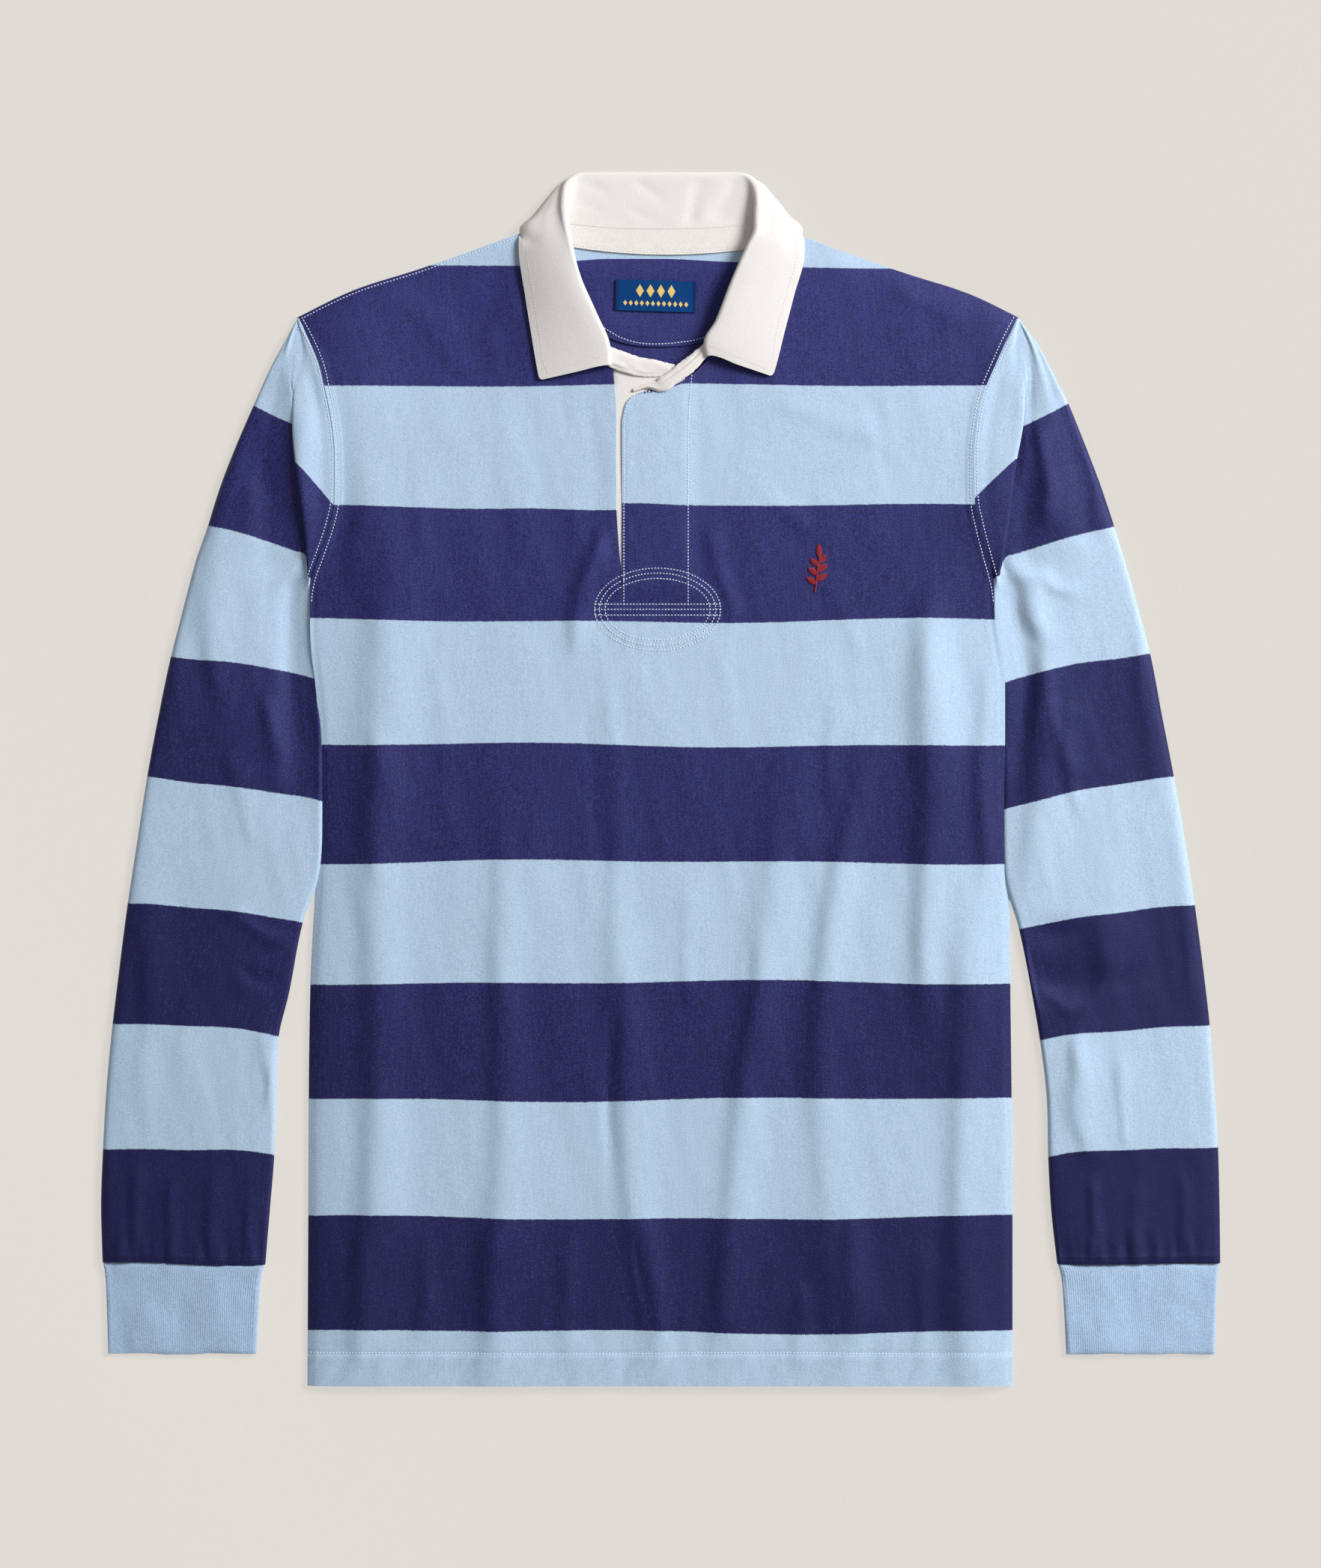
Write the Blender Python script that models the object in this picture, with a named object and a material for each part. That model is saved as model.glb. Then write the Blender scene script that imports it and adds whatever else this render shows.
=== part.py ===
"""A long-sleeved rugby shirt laid flat on its back: striped jersey, ecru twill collar, ribbed cuffs.

Millimetres in the tables, metres in the scene. +Z is up from the floor, +Y runs from hem to neck
and +X is the wearer's left. The origin lies on the floor under the middle of the outline.
Every piece of cloth is a sheet of points at the middle of its wall, which Solidify makes thick.
"""

import math

import bpy
import numpy as np

MM = 0.001

# Driving sizes, mm.
JERSEY = 1.3  # wall of the striped jersey
SLEEVE_WALL = 1.2
TWILL = 1.6  # wall of the collar, two layers of twill
UNDERLAY = 1.2
TAPE = 1.0
SEAM_GAP = 0.4  # between two pieces that are sewn together
LAY_GAP = 0.6  # between the back and what lies on it
HEM_Y = -405.5
TIP_Y = 308.0  # where shoulder seam and armhole seam meet
FAN_Y = 150.0  # above this the rows of the panels fan out to the neck
SLIT_X = -26.0  # edge of the placket's overlap
SLIT_END_Y = 116.5
PLACKET_STITCH_X = 18.0
LOFT = 5.6  # height of the front's middle surface over the floor


def table(columns, *rows):
    """A small table, as one array of numbers for each named column."""
    return dict(zip(columns.split(), np.array(rows, float).T))


def smooth(xs, ys, at):
    """The smooth curve through the points (xs, ys), read at the given places and level past the ends."""
    xs, ys = np.asarray(xs, float), np.asarray(ys, float)
    at = np.clip(at, xs[0], xs[-1])
    slopes = np.gradient(ys, xs)
    k = np.clip(np.searchsorted(xs, at, side="right") - 1, 0, len(xs) - 2)
    step = xs[k + 1] - xs[k]
    t = (at - xs[k]) / step
    rise = (3 - 2 * t) * t * t
    curve = t * (1 - t) * step * ((1 - t) * slopes[k] - t * slopes[k + 1])
    return ys[k] * (1 - rise) + ys[k + 1] * rise + curve


def ramp(value, start, end):
    """0 before start, 1 after end and a soft step between them."""
    t = np.clip((value - start) / (end - start), 0, 1)
    return t * t * (3 - 2 * t)


def spaced(*stretches):
    """Numbers in stretches: each (end, count) adds count even steps from the last number to end."""
    numbers = [0.0]
    for end, count in stretches:
        numbers.extend(np.linspace(numbers[-1], end, count + 1)[1:])
    return np.array(numbers)


def unit(vectors):
    return vectors / np.linalg.norm(vectors, axis=-1, keepdims=True)


def lerp(a, b, t):
    return a + (b - a) * t


def finish(name, colour, roughness):
    """A plain material for one kind of cloth."""
    material = bpy.data.materials.new(name)
    material.use_nodes = True
    shader = material.node_tree.nodes["Principled BSDF"]
    shader.inputs["Base Color"].default_value = (*colour, 1)
    shader.inputs["Roughness"].default_value = roughness
    shader.inputs["Metallic"].default_value = 0
    return material


def add(name, points, faces, material):
    """An object from points in mm."""
    mesh = bpy.data.meshes.new(name)
    mesh.from_pydata([tuple(p) for p in np.asarray(points) * MM], [], faces)
    mesh.materials.append(material)
    mesh.shade_smooth()
    mesh.set_sharp_from_angle(angle=math.radians(50))
    obj = bpy.data.objects.new(name, mesh)
    bpy.context.scene.collection.objects.link(obj)
    return obj


def sheet(name, grid, thickness, material, flip=False, even=True):
    """One piece of cloth from a grid of points on its middle surface, rows by columns.

    Points that coincide become one, so a slit can end and a tube can close. even keeps the wall's
    thickness on slopes, and is off where tight folds would make it spike.
    """
    rows, columns = grid.shape[:2]
    _, first, index = np.unique(
        grid.reshape(-1, 3).round(4), axis=0, return_index=True, return_inverse=True
    )
    index = index.reshape(rows, columns)
    faces = []
    for i in range(rows - 1):
        for j in range(columns - 1):
            quad = [index[i, j], index[i, j + 1], index[i + 1, j + 1], index[i + 1, j]]
            face = list(dict.fromkeys(int(n) for n in quad))
            if len(face) > 2:
                faces.append(face[::-1] if flip else face)
    obj = add(name, grid.reshape(-1, 3)[first], faces, material)
    wall = obj.modifiers.new("Wall", "SOLIDIFY")
    wall.thickness = thickness * MM
    wall.offset = 0
    wall.use_even_offset = even
    wall.use_quality_normals = True
    return obj


for old in list(bpy.data.objects):
    bpy.data.objects.remove(old, do_unlink=True)

jersey = finish("Striped jersey", (0.42, 0.58, 0.80), 0.85)
navy_jersey = finish("Navy jersey", (0.035, 0.033, 0.11), 0.85)
rib = finish("Ribbed cuff", (0.42, 0.58, 0.80), 0.85)
ecru = finish("Ecru twill", (0.83, 0.80, 0.76), 0.9)
ribbon = finish("Label ribbon", (0.01, 0.08, 0.2), 0.6)
rubber = finish("Button rubber", (0.8, 0.78, 0.74), 0.5)


# ---- Outline shared by front and back ----
# Side seam from hem to underarm, then armhole seam to the shoulder tip; out is the distance from
# the middle on the wearer's right and left, and loft the height of the front's edge.
SIDE = table(
    "y out_right out_left loft",
    (-405.5, 236.0, 234.5, 2.4),
    (-300.0, 235.5, 234.5, 2.4),
    (-136.0, 234.0, 233.0, 2.4),
    (-57.0, 230.0, 232.0, 2.4),
    (25.0, 228.0, 229.5, 2.4),
    (65.0, 231.0, 229.5, 2.5),
    (85.0, 233.5, 226.0, 2.6),
    (105.0, 234.3, 222.8, 2.8),
    (130.0, 233.9, 222.1, 3.6),
    (150.5, 227.5, 217.1, 5.4),
    (168.0, 221.5, 212.6, 6.6),
    (186.0, 218.0, 209.3, 7.0),
    (215.0, 217.9, 209.1, 7.2),
    (240.0, 220.2, 211.6, 7.0),
    (260.0, 224.2, 216.2, 6.6),
    (276.0, 227.8, 223.0, 6.0),
    (292.0, 234.4, 230.2, 4.8),
    (308.0, 243.0, 238.6, 2.8),
)
# Shoulder seam from the tip to the side of the neck; loft is the height of the front's edge.
SHOULDER = table(
    "out y loft",
    (243.0, 308.0, 2.4),
    (207.0, 325.5, 2.4),
    (163.0, 340.0, 2.5),
    (131.0, 351.0, 2.9),
    (110.0, 358.5, 4.2),
    (96.0, 363.5, 4.4),
    (74.0, 370.0, 4.5),
)
# Front neckline from the side of the neck to the placket, on each side.
NECKLINE_RIGHT = table(
    "out y", (74.0, 370.0), (68.0, 350.0), (60.0, 325.0), (50.0, 300.0), (38.0, 283.0), (33.0, 275.5)
)
NECKLINE_LEFT = table(
    "out y",
    (74.0, 370.0),
    (68.0, 350.0),
    (58.0, 325.0),
    (45.0, 300.0),
    (31.0, 281.5),
    (22.5, 272.5),
    (12.0, 265.5),
    (0.0, 262.0),
    (-10.0, 262.0),
    (-17.0, 259.0),
    (-22.5, 251.0),
    (-26.0, 240.0),
)
NECK_SIDE = 74.0
BACK_NECK_Y = 367.5  # the back neckline dips to this at the middle


def read(columns, name, by, at):
    """One column of a table, read smoothly along another."""
    order = np.argsort(columns[by])
    return smooth(columns[by][order], columns[name][order], at)


def shoulder_y(out):
    return read(SHOULDER, "y", "out", out)


def front_top(x):
    """The upper edge of the front: shoulder seams and neckline."""
    out = np.abs(x)
    right = np.interp(out, NECKLINE_RIGHT["out"][::-1], NECKLINE_RIGHT["y"][::-1])
    left = np.interp(x, NECKLINE_LEFT["out"][::-1], NECKLINE_LEFT["y"][::-1])
    neck = np.where(x < SLIT_X - SEAM_GAP / 2, right, left)
    return np.where(out > NECK_SIDE, shoulder_y(out), neck)


def back_top(x):
    """The upper edge of the back: shoulder seams and the shallow back neckline."""
    out = np.abs(x)
    neck = BACK_NECK_Y + (370.0 - BACK_NECK_Y) * (out / NECK_SIDE) ** 2
    return np.where(out > NECK_SIDE, shoulder_y(out), neck)


def fanned(row, top):
    """The height up the shirt of a row that is level below FAN_Y and ends on the upper edge."""
    return np.where(row > FAN_Y, FAN_Y + (row - FAN_Y) * (top - FAN_Y) / (TIP_Y - FAN_Y), row)


# ---- Front ----
# Soft drape folds: a ridge from (x_low, y_low) by (x_mid, y_mid) to (x_top, y_top).
FOLDS = table(
    "x_low y_low x_mid y_mid x_top y_top width height",
    (-200.0, -400.0, -190.0, -60.0, -176.0, 110.0, 9.0, 1.5),
    (-122.0, -400.0, -104.0, -250.0, -118.0, -110.0, 9.0, 1.5),
    (0.0, -370.0, -26.0, -240.0, -24.0, -10.0, 8.0, 1.3),
    (36.0, -390.0, 43.0, -250.0, 41.0, -170.0, 8.0, 1.2),
    (60.0, -190.0, 70.0, -120.0, 98.0, 30.0, 8.0, 1.1),
    (136.0, -400.0, 118.0, -230.0, 142.0, -30.0, 9.0, 1.4),
    (168.0, -120.0, 174.0, -10.0, 176.0, 110.0, 8.0, 1.4),
    (198.0, -400.0, 198.0, -250.0, 204.0, -130.0, 9.0, 1.4),
)
FOLD_FADE = 45.0  # a ridge dies away over this length at its upper end


def folds(x, y):
    """Height that the drape folds add at (x, y)."""
    height = np.zeros(np.broadcast(x, y).shape)
    for n in range(len(FOLDS["height"])):
        fold = {name: column[n] for name, column in FOLDS.items()}
        ends = (fold["y_low"], fold["y_mid"], fold["y_top"])
        line = smooth(ends, (fold["x_low"], fold["x_mid"], fold["x_top"]), y)
        along = ramp(y, fold["y_low"] - FOLD_FADE, fold["y_low"])
        along = along * (1 - ramp(y, fold["y_top"] - FOLD_FADE, fold["y_top"] + FOLD_FADE))
        height = height + fold["height"] * along * np.exp(-(((x - line) / fold["width"]) ** 2))
    return height


SEAM_ROLL = 7.0  # the cloth rises from a seam over about this far
OVERLAP_LIFT = 1.2  # the placket's overlap lies this much over the loft
UNDERLAP_DROP = 1.4  # and the edge beside it this much under
OUTLINE_SIDES = {-1: "out_right", 1: "out_left"}


def side_x(y, side):
    """Side seam and armhole seam, on the wearer's right (-1) or left (1)."""
    return side * read(SIDE, OUTLINE_SIDES[side], "y", y)


def front_height(x, y, overlap):
    """Height of the front's middle surface. overlap is 1 on the placket's upper side, 0 on the other."""
    side = np.where(x > 0, 1, -1)
    out = np.where(x > 0, side_x(y, 1), -side_x(y, -1))
    from_side = np.clip(out - side * x, 0, None)
    from_shoulder = np.clip(shoulder_y(np.abs(x)) - y, 0, None)
    edge = read(SIDE, "loft", "y", y)
    height = edge + (LOFT - edge) * (1 - np.exp(-from_side / SEAM_ROLL))
    height = height + folds(x, y) * ramp(from_side, 2, 22)
    shoulder_edge = read(SHOULDER, "loft", "out", np.abs(x))
    height = shoulder_edge + (height - shoulder_edge) * (1 - np.exp(-from_shoulder / SEAM_ROLL))
    placket = ramp(y, SLIT_END_Y, SLIT_END_Y + 14)
    lift = OVERLAP_LIFT * (1 - ramp(x, PLACKET_STITCH_X - 4, PLACKET_STITCH_X + 8))
    drop = UNDERLAP_DROP * ramp(x, SLIT_X - 26, SLIT_X - 6)
    return height + placket * np.where(overlap > 0, lift, -drop)


def slit_edge(y):
    """The panel's edge beside the slit, drawn back from the overlap towards the neck."""
    return SLIT_X - SEAM_GAP - 7.0 * np.clip((y - 140.0) / 136.0, 0, 1) ** 0.6


def front_half(rows, fractions, side):
    """Rows of points from the wearer's right side seam to the slit, or from the slit to the left seam."""
    row, fraction = np.meshgrid(rows, fractions, indexing="ij")
    seam = side_x(row, side)
    if side < 0:
        inner = np.where(row > SLIT_END_Y + 0.1, slit_edge(row), SLIT_X)
    else:
        inner = np.full_like(row, SLIT_X)
    x = lerp(inner, seam, fraction) if side > 0 else lerp(seam, inner, fraction)
    y = fanned(row, front_top(x))
    if side < 0:
        x = np.where(fraction == 1, np.where(row > SLIT_END_Y + 0.1, slit_edge(y), SLIT_X), x)
    return np.stack([x, y, front_height(x, y, np.full_like(x, side > 0))], axis=-1)


front_rows = np.concatenate(
    [
        spaced((22, 1), (495, 13)) + HEM_Y,
        [104.0, SLIT_END_Y, 124.0, 134.0],
        spaced((72, 6), (145, 4), (TIP_Y - FAN_Y, 1)) + FAN_Y,
    ]
)
right_columns = spaced((10, 2), (169, 8), (210, 5)) / 210
left_columns = spaced((16, 3), (100, 6), (256, 8), (266, 2)) / 266
front_grid = np.concatenate(
    [front_half(front_rows, right_columns, -1), front_half(front_rows, left_columns, 1)], axis=1
)
sheet("front", front_grid, JERSEY, jersey)


# ---- Back ----
COLLAR_ROOM = 2.1  # the back's neck lies on the collar's leaf, so it is raised by this


def back_height(x, y):
    """Height of the back's underside over the floor."""
    return COLLAR_ROOM * ramp(y, 313, 343) * (1 - ramp(np.abs(x), 99, 116))


back_rows = np.concatenate([spaced((540, 6)) + HEM_Y, spaced((70, 5), (110, 2), (158, 6)) + FAN_Y])
back_columns = spaced((125, 3), (169, 3), (317, 4), (361, 3), (486, 3)) / 486
row, fraction = np.meshgrid(back_rows, back_columns, indexing="ij")
x = lerp(side_x(row, -1), side_x(row, 1), fraction)
y = fanned(row, back_top(x))
back_grid = np.stack([x, y, back_height(x, y) + JERSEY / 2], axis=-1)
sheet("back", back_grid, JERSEY, jersey)


# ---- Sleeves ----
# Each row crosses the sleeve along one course of the knit. At the head the cloth by the armhole
# folds over the rest: out from the seam to the flap's edge, back under it by depth, and out again
# from where it emerges to the outer edge. Distances out from the middle of the shirt.
HEAD_COLUMNS = "seam_y flap_out flap_y emerge_out emerge_y outer_out outer_y depth rise"
HEAD_RIGHT = table(
    HEAD_COLUMNS,
    (303.0, 240.8, 303.0, 241.6, 303.0, 243.9, 302.5, -0.4, 0.0),
    (280.0, 242.5, 282.5, 243.2, 287.5, 252.4, 290.0, -4.0, 2.2),
    (250.0, 244.9, 260.0, 244.9, 271.5, 259.9, 276.5, 6.0, 4.4),
    (215.0, 245.4, 236.0, 245.9, 254.0, 266.2, 263.0, 12.0, 4.4),
    (182.0, 243.4, 211.5, 245.9, 236.5, 272.2, 249.5, 13.0, 4.4),
    (167.0, 239.9, 185.0, 242.9, 206.5, 283.9, 222.5, 10.0, 4.4),
    (150.0, 236.9, 159.0, 238.4, 176.0, 294.4, 195.5, 4.0, 4.4),
    (132.0, 235.4, 135.0, 236.6, 147.0, 302.9, 168.5, 0.5, 3.4),
)
HEAD_LEFT = table(
    HEAD_COLUMNS,
    (303.0, 238.6, 303.0, 239.8, 303.0, 242.6, 302.5, -0.4, 0.0),
    (280.0, 240.4, 282.5, 240.8, 287.5, 251.6, 290.0, -4.0, 2.2),
    (252.5, 242.6, 260.0, 242.6, 270.0, 259.1, 276.5, 6.0, 4.4),
    (220.0, 241.1, 236.0, 242.6, 252.5, 265.6, 263.5, 12.0, 4.4),
    (186.5, 237.1, 214.0, 241.1, 235.0, 272.1, 250.5, 13.0, 4.4),
    (168.5, 234.6, 190.0, 237.6, 206.0, 283.1, 223.5, 10.0, 4.4),
    (149.5, 231.1, 164.0, 233.6, 176.0, 293.6, 196.0, 5.0, 4.4),
    (132.5, 225.2, 134.0, 228.4, 144.0, 302.6, 169.0, 0.5, 3.4),
)
# Below the underarm: the inner and the outer edge of the tube.
ARM_RIGHT = table(
    "seam_out seam_y outer_out outer_y",
    (234.6, 122.0, 310.4, 147.0),
    (234.3, 106.0, 316.4, 125.0),
    (233.2, 86.0, 321.9, 103.5),
    (230.9, 65.0, 327.4, 82.0),
    (228.0, 24.5, 335.9, 41.5),
    (228.4, -16.5, 343.4, 1.0),
    (230.2, -57.5, 349.9, -41.0),
    (239.4, -96.0, 356.4, -83.5),
    (249.0, -145.0, 363.0, -135.0),
    (255.4, -172.0, 366.4, -163.0),
    (257.0, -211.5, 370.4, -205.0),
    (258.4, -251.5, 372.9, -247.5),
    (261.4, -288.5, 374.2, -286.0),
    (264.4, -323.8, 373.2, -323.8),
)
ARM_LEFT = table(
    "seam_out seam_y outer_out outer_y",
    (222.4, 122.0, 309.1, 148.0),
    (222.9, 104.0, 315.1, 127.5),
    (226.2, 83.5, 321.1, 105.5),
    (229.2, 62.5, 326.6, 84.0),
    (229.7, 21.0, 334.6, 42.5),
    (231.2, -21.0, 342.6, 1.5),
    (232.2, -62.5, 350.1, -41.0),
    (239.1, -100.5, 356.6, -84.5),
    (248.0, -145.0, 363.2, -135.0),
    (253.1, -175.0, 366.6, -165.0),
    (257.6, -213.5, 369.6, -205.0),
    (258.6, -253.0, 372.1, -246.0),
    (260.6, -288.5, 373.1, -285.0),
    (264.6, -323.8, 373.6, -323.8),
)
SLEEVE_LOFT = 5.0  # middle surface of the upper layer
SLEEVE_LOW = 3.1  # the same where it comes out from under the flap
ROLL = 1.2  # reach of the rounded turn at a fold
BODY_CLEAR = 1.5  # from the sleeve's inner edge to the body's side seam
ARMHOLE_GAP = 1.0


def head_ring(row, seam, seam_loft):
    """Points round one row of the sleeve's head, from the front armhole seam to the back one."""
    flap = np.array([row["flap_out"], row["flap_y"]])
    emerge = np.array([row["emerge_out"], row["emerge_y"]])
    outer = np.array([row["outer_out"] - SLEEVE_WALL / 2, row["outer_y"]])
    width = np.linalg.norm(outer - seam)
    roll = min(ROLL, width / 12)
    inward = unit(seam - flap)
    depth, rise = row["depth"], row["rise"]
    low = SLEEVE_LOW if rise > 0 else 2.4
    turn = min(roll, depth / 3)
    crown = low + (SLEEVE_LOFT - low) * ramp(width, 10, 45)
    tuck = lerp(flap, emerge, 0.5)
    ring = [(seam, seam_loft)]
    for t in (0.3, 0.65):
        arch = 0.4 * math.sin(math.pi * t)
        ring.append((lerp(seam, flap, t), lerp(seam_loft, low + rise, t) + arch))
    ring += [(flap + inward * roll, low + rise), (flap, low + 0.78 * rise)]
    ring += [(lerp(flap, tuck, 0.4) + inward * turn, low + 0.6 * rise)]
    ring += [(tuck + inward * depth / 2, low + 0.5 * rise)]
    ring += [(lerp(tuck, emerge, 0.4) + inward * (depth - turn), low + 0.4 * rise)]
    ring += [(lerp(tuck, emerge, 0.6) + inward * depth, low + 0.22 * rise)]
    ring += [(lerp(tuck, emerge, 0.8) + inward * (depth - roll), low)]
    ring += outer_layers(emerge - inward * roll, outer, low, crown, roll)
    ring += [(lerp(outer, seam, t), SLEEVE_WALL / 2) for t in (0.3, 0.65, 1)]
    return ring


def armhole(y, side):
    """The point of the sleeve's edge beside the armhole seam at height y, (out, y)."""
    ends = np.array([y - 1, y + 1])
    outs = side * side_x(ends, side)
    along = unit(np.array([outs[1] - outs[0], 2.0]))
    return np.array([outs.mean(), y]) + ARMHOLE_GAP * np.array([along[1], -along[0]])


def outer_layers(start, outer, low, crown, roll):
    """The upper layer from start to the sleeve's outer edge, and the turn there."""
    middle = (crown + SLEEVE_WALL / 2) / 2
    heights = (low, lerp(low, crown, 0.6), crown, crown + 0.3, crown, lerp(middle, crown, 0.85))
    spots = (0.0, 0.12, 0.34, 0.58, 0.8, 0.955)
    ring = [(lerp(start, outer, t), h) for t, h in zip(spots, heights)]
    back = unit(start - outer) * roll
    return ring + [(outer, middle), (outer + back, SLEEVE_WALL / 2)]


def arm_ring(row, clear):
    """Points round one row of the closed tube, starting and ending at its inner edge."""
    seam = np.array([row["seam_out"] + clear, row["seam_y"]])
    outer = np.array([row["outer_out"] - SLEEVE_WALL / 2, row["outer_y"]])
    middle = (SLEEVE_LOFT + SLEEVE_WALL / 2) / 2
    across = unit(outer - seam)
    ring = [(seam, middle), (seam + across * 1.4, SLEEVE_LOFT - 0.7)]
    spots = (0.035, 0.06, 0.09, 0.12, 0.15, 0.19, 0.23, 0.28)
    bulges = (-0.2, 0.0, 0.15, 0.25, 0.3, 0.35, 0.4, 0.4)
    ring += [(lerp(seam, outer, t), SLEEVE_LOFT + bulge) for t, bulge in zip(spots, bulges)]
    ring += outer_layers(lerp(seam, outer, 0.34), outer, SLEEVE_LOFT + 0.4, SLEEVE_LOFT, ROLL)
    ring += [(lerp(outer, seam, 0.3), SLEEVE_WALL / 2), (seam + across * 1.6, SLEEVE_WALL / 2)]
    return ring + [(seam, middle)]


def sleeve(name, head, arm, side):
    rings = []
    steps = np.arange(2 * len(head["depth"]) - 1) / 2
    whole = np.arange(len(head["depth"]))
    for step in steps:
        row = {column: float(smooth(whole, values, step)) for column, values in head.items()}
        seam = armhole(row["seam_y"], side)
        rings.append(head_ring(row, seam, float(read(SIDE, "loft", "y", row["seam_y"]))))
    for n in range(len(arm["seam_y"])):
        row = {column: values[n] for column, values in arm.items()}
        clear = BODY_CLEAR * (1 - ramp(-row["seam_y"], 60, 100)) + SLEEVE_WALL / 2
        rings.append(arm_ring(row, clear))
    grid = np.array([[(side * spot[0], spot[1], height) for spot, height in ring] for ring in rings])
    return sheet(name, grid, SLEEVE_WALL, jersey, flip=side > 0, even=False)


sleeve("sleeve_right", HEAD_RIGHT, ARM_RIGHT, -1)
sleeve("sleeve_left", HEAD_LEFT, ARM_LEFT, 1)


# ---- Cuffs ----
# Tubes of 1x1 rib, double cloth, pressed flat. The ribs stand on the upper face.
CUFF_TOP_Y = -324.6
CUFF_END_Y = -384.2
CUFF_WALL = 1.7
CUFF_HEIGHT = 4.3
RIBS = 60
RIB_HEIGHT = 0.35
CUFFS = {  # inner and outer edge at the sleeve, then at the hand
    "cuff_right": (-1, (265.2, 372.6), (270.4, 369.4)),
    "cuff_left": (1, (265.2, 373.0), (270.8, 370.0)),
}


def cuff_profile(inner, outer, height, ribbed):
    """Points (out, z) round a flattened tube, from its inner edge over the top and back underneath."""
    radius = height / 2
    middle = CUFF_HEIGHT / 2
    turn = np.linspace(0, math.pi / 2, 4)[:-1]
    points = [(inner + radius * (1 - math.sin(a)), middle - radius * math.cos(a)) for a in turn]
    points += [(inner + radius * (1 - math.cos(a)), middle + radius * math.sin(a)) for a in turn]
    for n in range(2 * RIBS + 1):
        crest = RIB_HEIGHT if ribbed and n % 2 else 0.0
        out = lerp(inner + radius, outer - radius, n / (2 * RIBS))
        points.append((out, middle + radius + crest))
    points += [(outer - radius * (1 - math.sin(a)), middle + radius * math.cos(a)) for a in turn[1:]]
    points += [(outer - radius * (1 - math.cos(a)), middle - radius * math.sin(a)) for a in turn]
    points += [(lerp(outer - radius, inner + radius, t), middle - radius) for t in (0, 0.5)]
    return np.array(points)


def cuff(name, side, at_sleeve, at_hand):
    """The ribbed outer skin and the plain inner one, joined at both ends."""
    rings = []
    for t, y in zip((0, 1), (CUFF_TOP_Y, CUFF_END_Y)):
        inner, outer = lerp(np.array(at_sleeve), np.array(at_hand), t)
        skin = cuff_profile(inner, outer, CUFF_HEIGHT, True)
        hollow = CUFF_HEIGHT - 2 * CUFF_WALL
        lining = cuff_profile(inner + CUFF_WALL, outer - CUFF_WALL, hollow, False)
        for profile in (skin, lining):
            rings.append([(side * out, y, z) for out, z in profile])
    count = len(rings[0])
    loops = [0, 2, 3, 1, 0]  # down the outside, then up the inside
    faces = []
    for a, b in zip(loops, loops[1:]):
        for n in range(count):
            m = (n + 1) % count
            quad = [a * count + n, b * count + n, b * count + m, a * count + m]
            faces.append(quad[::-1] if side < 0 else quad)
    return add(name, [p for ring in rings for p in ring], faces, rib)


for cuff_name, (side, at_sleeve, at_hand) in CUFFS.items():
    cuff(cuff_name, side, at_sleeve, at_hand)


# ---- Collar ----
# One row for each section, from the middle of the back round one side. A section runs from the
# neck seam up the stand, over the roll and down the leaf, by its bend, to the leaf's edge. lean is
# the way the roll points: 90 flat outwards, 0 up, -90 flat inwards over the neck.
COLLAR_COLUMNS = (
    "roll_out roll_y roll_z lean neck_out neck_y neck_z "
    "bend_out bend_y bend_z bend edge_out edge_y edge_z"
)
COLLAR_BACK = (
    (0.0, 404.7, 2.4, 90, 0.0, 368.3, 3.6, 0.0, 385.0, 0.9, 0, 0.0, 354.0, 0.9),
    (26.0, 404.7, 2.4, 90, 26.0, 368.7, 3.6, 27.0, 385.0, 0.9, 0, 25.0, 353.6, 0.9),
    (48.0, 404.6, 2.8, 82, 46.0, 369.7, 3.8, 50.0, 386.0, 0.9, 0, 45.0, 352.8, 0.9),
    (59.0, 402.2, 5.0, 55, 58.0, 370.6, 4.0, 66.0, 397.5, 2.6, 1.6, 57.0, 351.4, 0.9),
    (64.5, 395.0, 9.5, 20, 64.5, 371.3, 4.2, 76.0, 388.2, 2.6, 1.6, 68.0, 349.8, 0.9),
    (66.0, 383.0, 13.0, -15, 69.0, 371.8, 4.4, 87.5, 374.4, 2.6, 1.6, 78.0, 348.8, 0.9),
    (66.0, 373.0, 14.6, -35, 71.9, 371.2, 4.8, 97.0, 367.6, 2.7, 1.6, 95.4, 365.6, 0.9),
    (65.6, 367.0, 15.4, -45, 72.2, 367.6, 5.6, 95.5, 367.4, 8.6, 0, 98.3, 365.8, 6.9),
)
COLLAR_FRONT_RIGHT = (
    (63.6, 354.0, 16.0, -60, 68.4, 355.0, 6.6, 80.0, 352.0, 12.2, 0, 95.2, 350.0, 7.8),
    (54.6, 333.0, 15.5, -72, 61.4, 333.0, 7.2, 73.0, 328.0, 11.6, 0, 90.4, 322.0, 7.8),
    (43.0, 308.5, 14.0, -78, 52.0, 308.0, 7.2, 65.0, 303.0, 11.0, 0, 86.8, 298.0, 7.8),
    (33.4, 287.0, 12.2, -82, 39.3, 287.0, 7.2, 58.0, 281.5, 10.3, 0, 82.6, 275.0, 7.8),
    (33.0, 277.0, 10.8, -85, 34.6, 279.8, 7.2, 57.0, 271.5, 9.6, 0, 80.9, 266.0, 7.8),
)
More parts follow.
